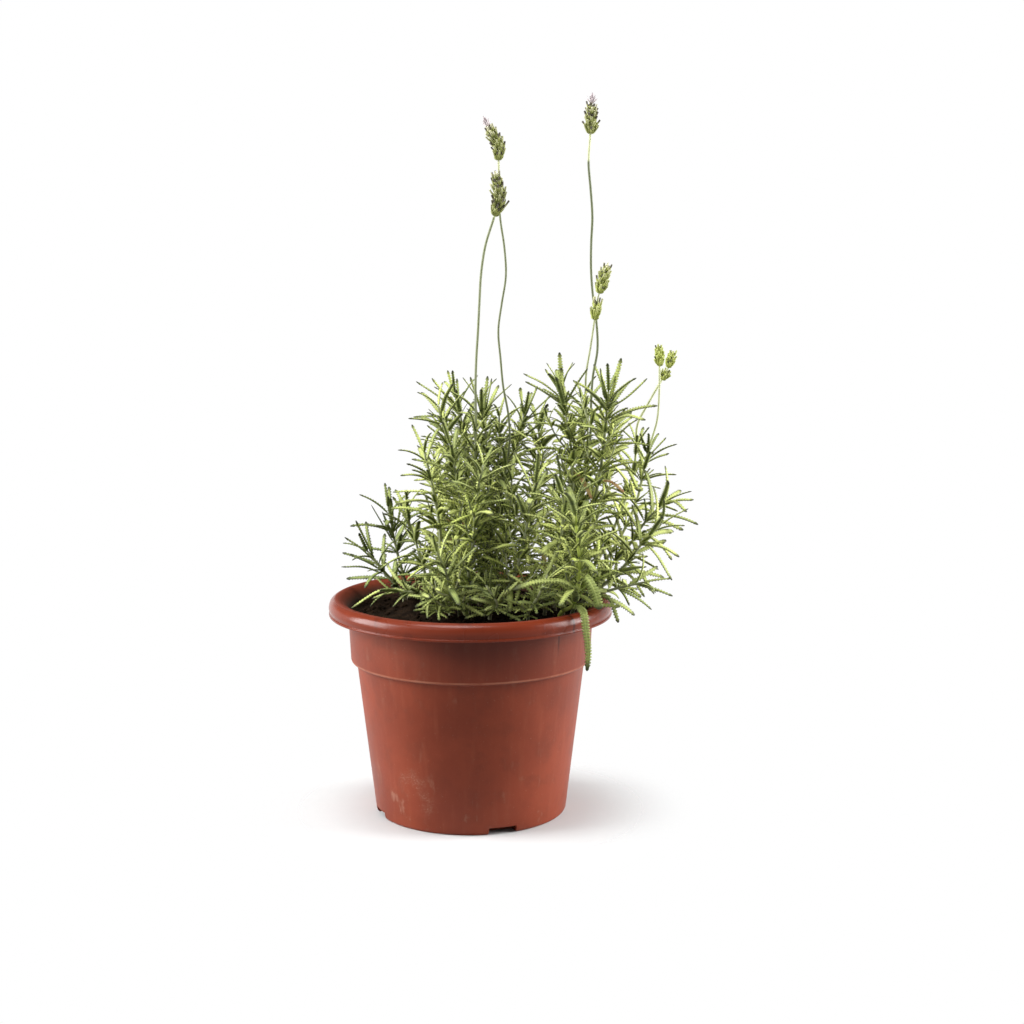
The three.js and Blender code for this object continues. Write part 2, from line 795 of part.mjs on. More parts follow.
// The few open lilac florets at a spike's tip, joined at their foot.
function tuftSolid(line, stem) {
  const { position, direction } = line.place(line.length);
  const root = position.addScaledVector(direction, TUFT_GAP);
  const [a, b] = sides(direction);
  let made = floretSolid(root, direction, 7, 2.6, 0);
  for (let k = 0; k < 5; k++) {
    const number = (n) => draw(stem.index, k, n);
    const angle = (k * 72 + 20 * number(21)) * degrees;
    const lean = mix(26, 44, number(22)) * degrees;
    const heading = turned(direction, turned(a, b, angle), lean);
    made = made.add(floretSolid(along(root, direction, 0.7), heading, mix(4.2, 6, number(23)), 1.9, k * 40));
  }
  return made;
}

// The pot: one turned shell with a rolled rim, a collar and a ledge, and drain cut-outs at its foot.
function potSolid() {
  const lip = RIM_RADIUS - WALL;
  const outside = [
    [0, 0],
    [BASE_RADIUS - 1.4, 0],
    [BASE_RADIUS, 1.5],
    [LEDGE_RADIUS, LEDGE_HEIGHT - 0.8],
    [COLLAR_RADIUS - 1.2, LEDGE_HEIGHT],
    [COLLAR_RADIUS + 0.8, POT_HEIGHT - 6.6],
  ];
  const rim = [
    [COLLAR_RADIUS + 3.9, POT_HEIGHT - 3],
    [lip - 2.2, POT_HEIGHT - 3.4],
    [lip - 0.4, POT_HEIGHT - 11.6],
    [RIM_RADIUS - 0.8, POT_HEIGHT - 12],
    [RIM_RADIUS, POT_HEIGHT - 7.1],
    [RIM_RADIUS - 1.2, POT_HEIGHT - 2.4],
    [RIM_RADIUS - 4.6, POT_HEIGHT],
    [RIM_RADIUS - 8.4, POT_HEIGHT - 0.4],
    [COLLAR_RADIUS + 2.4, POT_HEIGHT - 3.4],
  ];
  const inside = [
    [COLLAR_RADIUS - 1.2, POT_HEIGHT - 7.8],
    [COLLAR_RADIUS - WALL - 0.8, LEDGE_HEIGHT + 2.4],
    [LEDGE_RADIUS - WALL, LEDGE_HEIGHT + 0.4],
    [BASE_RADIUS - WALL + 0.2, FLOOR + 1.8],
    [BASE_RADIUS - WALL - 1.6, FLOOR],
    [0, FLOOR],
  ];
  const profile = [...outside, ...rim, ...inside].map(([r, z]) => new THREE.Vector2(r, z));
  let made = solid(new THREE.LatheGeometry(profile, POT_SEGMENTS).rotateX(Math.PI / 2));
  for (let i = 0; i < DRAIN_COUNT; i++) {
    const angle = (DRAIN_FIRST_ANGLE - 90 + (i * 360) / DRAIN_COUNT) * degrees;
    const reach = BASE_RADIUS + 5 - DRAIN_INNER_RADIUS;
    const cut = new THREE.BoxGeometry(reach, DRAIN_WIDTH, DRAIN_HEIGHT + 2);
    cut.translate(DRAIN_INNER_RADIUS + reach / 2, 0, DRAIN_HEIGHT / 2 - 1).rotateZ(angle);
    made = made.subtract(solid(cut));
  }
  return made;
}

// Soil fills the pot and rises a little to the middle, with low lumps on top.
function soilHeight(r, angle) {
  const lumps = Math.sin(r * 0.23 + 2 * angle) + Math.cos(3 * angle - r * 0.11) * Math.sin(r * 0.4);
  const rise = SOIL_MOUND * (1 - (r / COLLAR_RADIUS) ** 2);
  return SOIL_TOP + rise + (r < COLLAR_RADIUS - 6 ? SOIL_LUMP * lumps : 0);
}

function soilSolid(stems) {
  const wall = [
    [BASE_RADIUS - WALL - 1.6, FLOOR + GAP],
    [LEDGE_RADIUS - WALL - 0.2, LEDGE_HEIGHT + 0.4],
    [COLLAR_RADIUS - WALL - 0.8, LEDGE_HEIGHT + 2.4 + GAP],
    [COLLAR_RADIUS - WALL + 0.7, SOIL_TOP],
  ];
  const top = [62, 38, 15];
  const ring = (r, height) =>
    Array.from({ length: POT_SEGMENTS }, (_, k) => {
      const angle = (k / POT_SEGMENTS) * 2 * Math.PI;
      return new THREE.Vector3(r * Math.sin(angle), -r * Math.cos(angle), height(r, angle));
    });
  const rings = [...wall.map(([r, z]) => ring(r - GAP, () => z)), ...top.map((r) => ring(r, soilHeight))];
  let made = solid(loft(rings));
  for (const stem of stems) {
    const [x, y] = stem.foot;
    const ends = [SOIL_TOP - PLANTING_DEPTH - GAP, SOIL_TOP + 8].map((z) => new THREE.Vector3(x, y, z));
    const square = (end) => polygon(end, UP, stem.radiusAt(0) + HOLE_ROOM, 4, stem.turn + 45);
    made = made.subtract(solid(loft(ends.map(square))));
  }
  return made;
}

function setOut(stem, index) {
  const [x, y] = stem.foot;
  const heights = [-PLANTING_DEPTH, -PLANTING_DEPTH / 2, FOOT_RISE, FOOT_RISE + 4];
  const points = [...heights.map((z) => [x, y, SOIL_TOP + z]), ...stem.route];
  const route = thinned(smooth(points.map(vector)), PLANTING_DEPTH + FOOT_RISE, STEM_STEP);
  const leafyTo = route.length - (stem.bare ?? 0);
  const tipRadius = stem.spike ? PEDUNCLE_RADIUS : STEM_TIP_RADIUS;
  const footRadius = STEM_FOOT_RADIUS * Math.sqrt(stem.size);
  const radiusAt = (distance) => mix(footRadius, tipRadius, Math.min(1, distance / leafyTo));
  return { ...stem, index, turn: index * 67, route, leafyTo, radiusAt };
}

const stems = [...LEAFY_STEMS, ...FLOWERING_STEMS].map(setOut);
const group = new THREE.Group();
const looks = {
  pot: new THREE.MeshStandardMaterial({ color: 0x9c4a36, roughness: 0.42, metalness: 0 }),
  soil: new THREE.MeshStandardMaterial({ color: 0x1f1712, roughness: 0.95, metalness: 0 }),
  stem: new THREE.MeshStandardMaterial({ color: 0x7d9440, roughness: 0.7, metalness: 0 }),
  spike: new THREE.MeshStandardMaterial({ color: 0x6f7838, roughness: 0.75, metalness: 0 }),
  tuft: new THREE.MeshStandardMaterial({ color: 0xb9a3bd, roughness: 0.7, metalness: 0 }),
};

function addPiece(name, made, look) {
  const mesh = new THREE.Mesh(geometryOf(made.simplify(FINEST_FACE)), look);
  mesh.name = name;
  group.add(mesh);
}

addPiece("pot", potSolid(), looks.pot);
addPiece("soil", soilSolid(stems), looks.soil);

for (const stem of stems) occupyStem(stem.route, stem.radiusAt, stem.name);
for (const stem of stems.filter((s) => s.spike)) addSpike(stem);

const grown = new Map(stems.map((stem) => [stem.name, stemSolid(stem.route, stem.radiusAt, stem.turn)]));
for (const { stem, from, curve, width, teeth } of LARGE_LEAVES) {
  const bearer = stems.find((s) => s.name === stem);
  const spine = curveSpine([bearer.route.atHeight(from).toArray(), ...curve]);
  grown.set(stem, joined(grown.get(stem), (size) => leafSolid(spine, width, teeth, size)));
  occupied.push(...leafSamples(spine, spine(1).travelled, width, stem));
}
const deepest = Math.max(...stems.flatMap((stem) => stem.whorls));
for (let k = 0; k <= deepest; k++)
  for (const stem of stems.filter((s) => s.whorls.includes(k)))
    for (const side of [0, 1]) {
      const leaf = placeLeaf(stem, k, side);
      if (leaf) grown.set(stem.name, joined(grown.get(stem.name), leaf));
    }
for (const [name, made] of grown) addPiece(name, made, looks.stem);

export default group;
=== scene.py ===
import math

import bpy
import numpy as np
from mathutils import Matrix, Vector, noise


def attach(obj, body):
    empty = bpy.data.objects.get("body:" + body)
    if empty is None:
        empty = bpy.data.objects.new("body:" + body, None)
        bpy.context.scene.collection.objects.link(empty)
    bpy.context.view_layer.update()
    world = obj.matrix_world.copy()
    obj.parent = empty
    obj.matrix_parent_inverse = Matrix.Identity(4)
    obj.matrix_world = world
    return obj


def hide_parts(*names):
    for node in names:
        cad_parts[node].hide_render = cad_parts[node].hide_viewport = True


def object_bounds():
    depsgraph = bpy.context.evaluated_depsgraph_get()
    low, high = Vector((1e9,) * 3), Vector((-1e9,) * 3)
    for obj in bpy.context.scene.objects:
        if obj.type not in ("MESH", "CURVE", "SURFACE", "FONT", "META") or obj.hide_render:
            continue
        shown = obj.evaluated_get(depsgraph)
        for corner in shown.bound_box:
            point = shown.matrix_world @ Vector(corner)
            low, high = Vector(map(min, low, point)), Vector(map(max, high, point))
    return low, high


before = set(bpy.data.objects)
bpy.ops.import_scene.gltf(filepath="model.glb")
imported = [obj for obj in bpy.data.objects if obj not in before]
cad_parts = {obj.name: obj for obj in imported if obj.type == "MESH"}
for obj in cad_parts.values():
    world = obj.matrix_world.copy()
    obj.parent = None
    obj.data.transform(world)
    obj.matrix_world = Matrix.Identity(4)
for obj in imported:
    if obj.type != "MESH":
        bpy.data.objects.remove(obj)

MM = 0.001
cad_low, cad_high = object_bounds()
BOX_LOW = np.array(cad_low) / MM
BOX_HIGH = np.array(cad_high) / MM

# The pot, the longest step along its outline and the angle in degrees from which an edge is sharp
RIM_RADIUS = 100
POT_HEIGHT = 153.6
BASE_RADIUS = 67.6
LEDGE_HEIGHT = 109.2
LEDGE_RADIUS = 80.4
COLLAR_RADIUS = 85.6
WALL = 2.2
FLOOR = 2.6
POT_SEGMENTS = 108
POT_STEP = 9
CREASE = 40
DRAIN_COUNT = 4
DRAIN_WIDTH = 21
DRAIN_HEIGHT = 5
DRAIN_INNER_RADIUS = 57
DRAIN_FIRST_ANGLE = -70

# The soil, whose top has rings between two radii, and its loose crumbs
GAP = 0.35
SOIL_TOP = 142
SOIL_MOUND = 3.2
SOIL_LUMP = 0.9
PLANTING_DEPTH = 17
FOOT_RISE = 5
SOIL_SEGMENTS = 200
SOIL_RINGS = 82.6, 12, 38
CRUMBS = 700
CRUMBS_RADIUS = 81

# The leaves and stems. A short leaf has a simpler section.
STEM_FOOT_RADIUS = 1.9
STEM_TIP_RADIUS = 0.75
PEDUNCLE_RADIUS = 0.95
STEM_STEP = 19
STEM_CORNERS = 8
LEAF_LENGTH = 30
LEAF_SLIMNESS = 0.155
LEAF_ROOT = 0.4
LIFT = 0.22
SHORT_LEAF = 17
MOST_WHORLS = 24

# The teeth: their pitch and depth, and the stretch of the leaf that has them, with its share
TOOTH_PITCH = 2.05
TOOTH_DEPTH = 0.56
TOOTHED_FROM, TOOTHED_TO, TOOTHED_SHARE = 0.13, 0.95, 0.82

# The flower spikes
BUDS_ROUND = 6
TUFT_GAP = 0.8
SPREAD_PETALS = 10

# Clearances between pieces, how far leaves may hang below the rim and stay inside the collar, and the
# spacing and number of the points that clearances are measured at
LEAF_REACH = 1.35
FILL_REACH = 0.75
TWIG_REACH = 0.6
CLEARANCE = 0.4
FILL_CLEARANCE = 0.1
RIM_CLEARANCE = 1.6
BOX_CLEARANCE = 0.6
HANG = 35.0
MOUTH_MARGIN = 8
SAMPLE_STEP = 1.9
MOST_SAMPLES = 400000

# The first pair from the tip with side shoots and with small leaves in its axils, how far above its
# top pair the tip of a flowering stem would be, and the age and share of the leaves that dry
SHOOTS_FROM = 5
AXILS_FROM = 2
MISSING_TIP = 12
DRYING_AGE = 0.61
DRYING_SHARE = 0.03

# Each leafy stem: key, foot on the soil, route to the tip, pairs of leaves counted from the tip, size
LEAFY_STEMS = [
    ("left_a", (-46, 38), [(-51, 38, 166), (-56, 31, 192), (-59, 24, 213)], [0, 1, 2, 3, 5], 0.95),
    ("left_b", (-49, 29), [(-57, 24, 160), (-65, 17, 171), (-73, 12, 183)], [0, 1, 3], 0.95),
    ("a", (-8, 11), [(-13, 14, 177), (-11, 12, 220), (-16, 8, 260), (-22, 4, 287)], [0, 1, 3, 5, 8, 11], 1),
    ("b", (-4, 25), [(-7, 36, 173), (-3, 38, 223), (-6, 40, 267), (-11, 42, 289)], [0, 1, 3, 6, 10], 1),
    ("c", (4, 17), [(7, 21, 182), (12, 20, 226), (11, 18, 262), (7, 16, 288)], [0, 1, 3, 6, 10], 1),
    ("d", (8, 26), [(11, 33, 180), (17, 37, 224), (20, 35, 253), (20, 30, 277)], [0, 1, 3, 6, 9], 0.95),
    ("e", (-14, -3), [(-20, -7, 173), (-21, -10, 202), (-26, -14, 234), (-31, -18, 257)],
     [0, 1, 3, 5, 8], 1.05),
    ("f", (-21, 4), [(-29, 1, 161), (-36, 3, 182), (-41, 6, 199), (-45, 8, 210)], [0, 1, 3, 5], 1),
    ("g", (-6, -11), [(-10, -21, 176), (-6, -26, 212), (-9, -28, 243), (-13, -30, 264)],
     [0, 1, 3, 5, 8, 10], 1.05),
    ("h", (0, -19), [(-1, -33, 171), (3, -40, 200), (5, -46, 228), (10, -50, 253)], [0, 1, 2, 4, 7, 10], 1),
    ("i", (-14, -20), [(-22, -33, 156), (-34, -40, 163), (-45, -44, 166), (-53, -46, 166)],
     [0, 2, 4], 0.85),
    ("j", (-7, -31), [(-11, -50, 160), (-14, -58, 174), (-16, -62, 186), (-21, -64, 196)], [0, 1, 3], 0.95),
    ("k", (52, -5), [(54, -6, 173), (69, -6, 209), (71, -6, 251), (63, -4, 301)],
     [0, 1, 2, 4, 6, 9, 12], 1.1),
    ("l", (65, -11), [(71, -14, 175), (83, -16, 210), (91, -18, 252), (95, -20, 299)],
     [0, 1, 2, 4, 6, 9, 12], 1.1),
    ("m", (62, 29), [(68, 44, 171), (75, 48, 222), (80, 52, 258), (81, 54, 286)], [0, 1, 3, 6, 9], 1),
    ("n", (24, 27), [(34, 37, 172), (45, 40, 209), (49, 42, 245), (48, 44, 271)], [0, 1, 3, 6, 9], 1),
    ("o", (10, 38), [(14, 51, 170), (18, 50, 207), (23, 44, 237), (33, 38, 256), (38, 34, 278)],
     [0, 1, 5], 0.95),
    ("p", (78, -1), [(95, -1, 171), (111, -4, 190), (124, -8, 210), (135, -12, 222)],
     [0, 1, 2, 4, 6, 8], 1.1),
    ("q", (76, -14), [(95, -18, 166), (110, -24, 183), (122, -28, 200), (131, -31, 209)],
     [0, 1, 3, 5, 7], 1.1),
    ("r", (71, -24), [(88, -33, 161), (101, -42, 167), (111, -48, 171), (118, -52, 173)], [0, 1, 3], 1),
    ("front", (62, -36), [(72, -50, 158), (74, -62, 175), (74, -68, 193), (72, -72, 212), (71, -74, 227)],
     [0, 2, 4], 1.1),
    ("s", (20, -21), [(30, -35, 172), (37, -42, 197), (41, -46, 222), (45, -48, 240)], [0, 1, 3, 5, 7], 1),
    ("t", (14, -37), [(19, -58, 157), (18, -64, 166), (12, -67, 174)], [0, 2], 0.85),
    ("u", (52, -24), [(56, -42, 170), (60, -48, 191), (64, -52, 216), (63, -54, 238)], [0, 2, 4, 6], 1),
    ("v", (12, -8), [(18, -16, 168), (25, -18, 193), (28, -20, 218), (29, -22, 238)], [0, 1, 3, 5, 7], 1),
    ("w", (66, 40), [(82, 56, 172), (93, 62, 205), (100, 65, 236), (102, 67, 262)], [0, 1, 3, 6, 9], 1),
    ("x", (-16, 37), [(-23, 55, 169), (-23, 61, 198), (-25, 65, 220), (-28, 68, 237)], [0, 1, 3, 5], 1),
    ("y", (40, -42), [(43, -60, 158), (48, -67, 169), (53, -71, 182)], [0, 2], 0.85),
]

# Each flowering stem, whose key is a capital letter: as above, then its bare length, and its spike's
# tip, width and heads of buds (from, to, whorls, share of the width), and whether open florets stand
# at its tip
FLOWERING_STEMS = [
    ("A", (6, 8),
     [(9, 8, 176), (19, 8, 213), (27, 8, 256), (27, 8, 278), (23, 8, 301), (20, 9, 336), (19, 10, 350),
      (23, 11, 361), (25, 12, 378), (24, 12, 396), (21, 13, 417), (20, 14, 439), (20, 15, 455)],
     [0, 2], 0.8, 208, (13, 14, 479), 12.5, [(0, 1, 6, 1)], True),
    ("B", (-1, -1),
     [(-1, 3, 176), (3, 2, 221), (4, 0, 277), (4, 0, 309), (6, -1, 344), (8, -2, 379), (11, -4, 398),
      (17, -6, 417)],
     [0, 2], 0.8, 150, (18, -8, 447), 13, [(0, 1, 7, 1)], False),
    ("C", (58, 15),
     [(66, 25, 170), (76, 24, 211), (84, 22, 254), (85, 20, 289), (86, 20, 306), (89, 20, 323),
      (89, 20, 339), (87, 20, 353), (85, 20, 371), (84, 19, 392), (85, 18, 413), (84, 17, 432),
      (82, 16, 453), (83, 15, 473)],
     [0, 2], 0.8, 232, (84, 14, 494), 12.5, [(0, 1, 6, 1)], True),
    ("D", (60, 3),
     [(64, 2, 170), (74, 0, 208), (81, 0, 250), (82, 0, 271), (80, 0, 302), (83, 0, 325), (86, 0, 346)],
     [0, 2], 0.8, 96, (95, 0, 385), 11, [(0, 0.38, 2, 0.86), (0.47, 1, 5, 1)], False),
    ("E", (72, 9),
     [(88, 17, 165), (105, 18, 190), (117, 16, 217), (122, 14, 240), (124, 12, 254), (130, 10, 268),
      (131, 9, 283), (132, 8, 296), (133, 8, 305), (132, 8, 314)],
     [0, 1, 3, 5], 1, 62, (131, 8, 329), 9, [(0, 1, 5, 1)], False),
    ("F", (70, 22),
     [(86, 38, 164), (101, 39, 191), (113, 35, 224), (118, 31, 248), (117, 29, 259), (118, 26, 271),
      (121, 24, 280), (128, 20, 292), (134, 17, 304)],
     [0, 2, 4], 0.9, 54, (142, 17, 324), 9, [(0, 0.37, 2, 1), (0.44, 1, 3, 0.9)], False),
]

# How far the buds of each spike have ripened from fresh green to olive with dark tips, how pale its
# stalk is, and the length of the stalk's pale end below the spike
RIPENING = {"A": (0.82, 0.12, 9), "B": (0.9, 0.18, 0), "C": (0.85, 0.05, 17), "D": (0.45, 0.6, 0),
            "E": (0.1, 0.95, 0), "F": (0.2, 0.8, 0), "front": (0, 0.8, 0)}

# How much lighter or darker the leaves of some stems are, and the stems that are airy lower down
SHADES = {"left_a": -0.8, "left_b": -0.7, "p": 0.3, "q": 0.35, "r": 0.35, "w": 0.2, "E": 0.2, "F": 0.2,
          "e": 0.25, "f": 0.25, "i": 0.15}
AIRY_STEMS = ("left_a", "left_b", "e", "f", "p", "q", "r", "w", "E", "F")

# Large leaves of the nearest stem, "front": the height at which each leaves it, its curve, where its
# upper face turns to and its width
LARGE_LEAVES = [
    (161, [(72, -63, 163), (70, -70, 173), (60, -73, 178), (45, -74, 177.5), (30, -75, 172.5)],
     (0, -0.8, 0.6), 5.8),
    (182, [(79, -69, 179.5), (84, -71.5, 171), (88, -72.5, 158.5)], (0.1, -0.95, 0.3), 8.8),
    (158, [(76.5, -70, 157), (78.5, -75, 145), (80, -76, 130), (79.3, -75.5, 117)], (-0.1, -1, 0.2), 5.8),
    (189, [(81, -72, 195), (90, -76, 199)], (0.3, -0.7, 0.5), 5.2),
]

# Leaves that stand out at the edge of the bush in the photograph, by stem: the height at which each
# leaves it, its tip, how far its middle is arched up, its width and, if it has dried, how far
SHOWN_LEAVES = [
    ("b", [(280, (-28, 38, 304), 0, 4.2), (279, (-39, 34, 302), 1, 3), (288, (-17, 46, 309), 0, 2.8),
           (276, (-10, 36, 304), 0, 3.4), (271, (-41, 30, 277), 3, 4.2)]),
    ("a", [(260, (-30, 2, 274), 1, 3.6)]),
    ("c", [(277, (0, 12, 307), 1, 4), (279, (12, 20, 307), 0, 3.6), (276, (15, 11, 306), 0, 3),
           (277, (-15, 8, 298), 3, 4.6), (281, (29, 12, 302), 1, 3), (266, (-34, 6, 260), 3, 2),
           (278, (51, 6, 257), 3, 1.9), (266, (44, 10, 270), -1, 1.9)]),
    ("d", [(265, (59, 26, 269), -3, 2.8)]),
    ("o", [(277, (35, 30, 298), 0, 4.4), (274, (47, 28, 299), 0, 4), (271, (57, 24, 293), 1, 3.2)]),
    ("k", [(293, (62, 0, 325), 0, 4.2), (288, (63, -10, 315), 0, 4.4), (296, (52, -8, 314), 0, 3.8),
           (293, (37, -10, 311), 2, 3.4), (300, (71, -12, 319), 2, 2.6)]),
    ("l", [(294, (111, -24, 308), 0, 2.4), (287, (121, -26, 309), -2, 3.4), (287, (104, -14, 322), 0, 4.2),
           (291, (89, -28, 316), 0, 5), (287, (72, -26, 307), 3, 4.4), (276, (120, -30, 281), 5, 4.8),
           (238, (106, -27, 231), 3, 3.6, 0.9)]),
    ("k", [(243, (84, -24, 226), 4, 3.4, 0.8)]),
    ("E", [(252, (119, 6, 268), 0, 4), (250, (137, 6, 265), 0, 3), (246, (139, 4, 254), 1, 3.6)]),
    ("p", [(220, (150, -18, 216), 5, 5), (219, (155, -14, 224), 2, 4.8), (213, (135, -18, 221), 0, 3),
           (207, (148, -16, 203), 3, 5.2)]),
    ("q", [(197, (139, -34, 171), 3, 3.6), (182, (127, -32, 161), 4, 3.4), (181, (122, -36, 188), 2, 3.8),
           (176, (120, -37, 160), 4, 3)]),
    ("r", [(170, (128, -54, 167), 3, 3.2), (163, (102, -42, 143), 4, 4)]),
    ("left_a", [(190, (-58, 28, 219), 0, 4.4), (186, (-63, 22, 210), 0, 4.4), (183, (-71, 22, 215), 0, 2.8),
                (188, (-50, 30, 216), 0, 2.6), (183, (-33, 24, 208), 3, 3)]),
    ("left_b", [(174, (-81, 8, 206), 0, 3.6), (172, (-89, 8, 194), 2, 3), (164, (-92, 12, 172), 3, 3.4),
                (167, (-86, 14, 181), 1, 3.6)]),
    ("i", [(164, (-79.5, -55, 156), 7, 3.6)]),
]

# The first part of the seeds of those two kinds of leaves
LARGE_SEED = 90
SHOWN_SEED = 91

UP = np.array([0.0, 0.0, 1.0])
ACROSS = np.array([0.0, 1.0, 0.0])


def draw(*keys):
    """A number from 0 to 1 that depends only on its whole-number keys."""
    h = 2166136261
    for key in keys:
        h = ((h ^ key) * 16777619) & 0xFFFFFFFF
        h ^= h >> 13
        h = (h * 1540483477) & 0xFFFFFFFF
        h ^= h >> 15
    return h / 4294967296


def mix(a, b, t):
    return a + (b - a) * t


def vary(low, high, *keys):
    """A number between two others that depends only on its whole-number keys."""
    return mix(low, high, draw(*keys))


def unit(v):
    return v / math.sqrt(v @ v)


def turned(start, towards, angle):
    """One direction turned by an angle towards another, which is square to it."""
    return start * math.cos(angle) + towards * math.sin(angle)


def sides(direction):
    """Two directions square to a stem's own direction."""
    first = unit(ACROSS - direction * (ACROSS @ direction))
    return first, np.cross(direction, first)


class Route:
    """A line of points, each with its distance from the foot."""

    def __init__(self, points):
        self.points = np.array(points, float)
        steps = np.linalg.norm(np.diff(self.points, axis=0), axis=1)
        self.at = np.concatenate([[0], np.cumsum(steps)])
        self.length = self.at[-1]

    def place(self, distance):
        """The place and direction at a distance from the foot."""
        i = int(np.clip(np.searchsorted(self.at, distance), 1, len(self.at) - 1))
        low, high = self.points[i - 1], self.points[i]
        t = (distance - self.at[i - 1]) / (self.at[i] - self.at[i - 1])
        return low + (high - low) * t, unit(high - low)

    def at_height(self, z):
        i = int(np.argmax(self.points[:, 2] >= z))
        low, high = self.points[i - 1], self.points[i]
        return low + (high - low) * (z - low[2]) / (high[2] - low[2])


def smooth(points, steps=10):
    """A smooth line through a few points."""
    p = [np.array(point, float) for point in points]
    p = [2 * p[0] - p[1]] + p + [2 * p[-1] - p[-2]]
    made = []
    for i in range(1, len(p) - 2):
        low, high = (p[i + 1] - p[i - 1]) / 2, (p[i + 2] - p[i]) / 2
        bend = 3 * (p[i + 1] - p[i]) - 2 * low - high
        twist = low + high - 2 * (p[i + 1] - p[i])
        for k in range(steps):
            t = k / steps
            made.append(p[i] + low * t + bend * t * t + twist * t ** 3)
    made.append(p[-2])
    return Route(made)


def thinned(route, straight, step):
    """The same line with fewer points: one at the end of its straight start, then at equal steps."""
    count = max(2, int((route.length - straight) / step + 0.5))
    distances = [0] + [mix(straight, route.length, i / count) for i in range(count + 1)]
    return Route([route.place(d)[0] for d in distances])


def whorl_depth(k):
    """How far a pair of leaves stands below the tip of its stem."""
    return 1.5 + 5.6 * k + 0.33 * k * k


def whorl_lean(k):
    """How far the leaves of a pair lean out from the stem."""
    return math.radians(min(17 + 13 * k, 72))


def whorl_size(k):
    """The length of a pair's leaves, as a share of the usual one."""
    return 0.74 if k == 0 else min(1.06, 0.86 + 0.07 * k)


class Stem:
    """A leafy or flowering stem: its route, its widths, its deepest pair of leaves and what it carries."""

    def __init__(self, index, key, foot, route, whorls, size, bare=0, tip=None, width=0, heads=(),
                 tuft=False):
        self.index, self.key, self.whorls, self.size = index, key, whorls, size
        self.tip, self.width, self.heads, self.tuft = tip, width, heads, tuft
        self.name = f"flowering_stem_{key.lower()}" if tip else f"leafy_stem_{key}"
        self.turn = index * 67
        self.leaves, self.shoots = [], []
        heights = [-PLANTING_DEPTH, -PLANTING_DEPTH / 2, FOOT_RISE, FOOT_RISE + 4]
        points = [(*foot, SOIL_TOP + z) for z in heights] + route
        self.route = thinned(smooth(points), PLANTING_DEPTH + FOOT_RISE, STEM_STEP)
        self.leafy_to = self.route.length - bare
        self.tip_radius = PEDUNCLE_RADIUS if tip else STEM_TIP_RADIUS
        self.foot_radius = STEM_FOOT_RADIUS * math.sqrt(size)
        self.deepest = 0
        while self.leafy_to - whorl_depth(self.deepest + 1) > PLANTING_DEPTH + FOOT_RISE + 1.5:
            self.deepest += 1
        if tip:
            end, direction = self.route.place(self.route.length)
            start = end + direction * GAP
            middle = start + direction * 0.4 * math.dist(start, tip)
            self.line = smooth([start, middle, tip])

    def radius(self, distance):
        return mix(self.foot_radius, self.tip_radius, min(1, distance / self.leafy_to))

    def bearing(self, k, side):
        """The angle in degrees round the stem at which a leaf of a pair stands."""
        return self.turn + k * 90 + side * 180

    def from_tip(self, k):
        """How far a pair of leaves stands from the tip, or from where a flowering stem's tip would be."""
        return whorl_depth(k) + (MISSING_TIP if self.tip else 0)


STEMS = [Stem(i, *facts) for i, facts in enumerate(LEAFY_STEMS + FLOWERING_STEMS)]
BY_KEY = {stem.key: stem for stem in STEMS}
FLOWERING = [stem for stem in STEMS if stem.tip]


class Occupied:
    """The points where clearance is measured: place, reach around it, and the stem it belongs to."""

    def __init__(self):
        self.count = 0
        self.widest = 0
        self.position = np.zeros((MOST_SAMPLES, 3))
        self.reach = np.zeros(MOST_SAMPLES)
        self.owner = np.zeros(MOST_SAMPLES, int)
        self.root = np.zeros(MOST_SAMPLES, bool)

    def add(self, positions, reach, owner, root):
        span = slice(self.count, self.count + len(positions))
        self.position[span] = positions
        self.reach[span] = reach
        self.owner[span] = owner
        self.root[span] = root
        self.widest = max(self.widest, reach)
        self.count = span.stop

    def is_clear(self, samples, reach, owner, own_from, clearance, own_room):
        margin = reach + self.widest + clearance
        low, high = samples.min(0) - margin, samples.max(0) + margin
        there = self.position[:self.count]
        near = np.flatnonzero(((there > low) & (there < high)).all(1))
        if not len(near):
            return True
        gaps = ((samples[:, None] - there[near]) ** 2).sum(2)
        own = self.owner[near] == owner
        room = np.where(own, own_room, reach + self.reach[near] + clearance) ** 2
        late = np.arange(len(samples)) >= own_from
        counted = np.where(own, late[:, None] & ~self.root[near], True)
        return not ((gaps < room) & counted).any()


occupied = Occupied()


def is_clear_of_pot(samples):
    """Leaves stay above the soil and clear of the rim, inside and outside."""
    r = np.hypot(samples[:, 0], samples[:, 1])
    lowest = np.full(len(r), POT_HEIGHT - HANG)
    lowest[r < RIM_RADIUS + RIM_CLEARANCE] = POT_HEIGHT + RIM_CLEARANCE
    lowest[r < COLLAR_RADIUS - MOUTH_MARGIN] = SOIL_TOP + SOIL_MOUND + RIM_CLEARANCE
    return (samples[:, 2] > lowest).all()


def is_in_box(samples):
    return (samples > BOX_LOW + BOX_CLEARANCE).all() and (samples < BOX_HIGH - BOX_CLEARANCE).all()


def claim(stem, samples, roots, reach, own_from, clearance, own_room=1.7, boxed=True):
    """Takes up the room round some points, or says that the pot or another piece is in the way. The
    stem's own pieces count from a share of the way along the points."""
    if not is_clear_of_pot(samples) or (boxed and not is_in_box(samples)):
        return False
    first = int(len(samples) * own_from + 0.5)
    if not occupied.is_clear(samples, reach, stem.index, first, clearance, own_room):
        return False
    occupied.add(samples, reach, stem.index, roots)
    return True


def leaf_outline(s):
    """The half width of a leaf along its length, before the teeth are cut, where clearance is measured."""
    return np.where(s < 0.2, s / 0.2, np.where(s < 0.6, 1, mix(1, 0.42, (s - 0.6) / 0.4)))


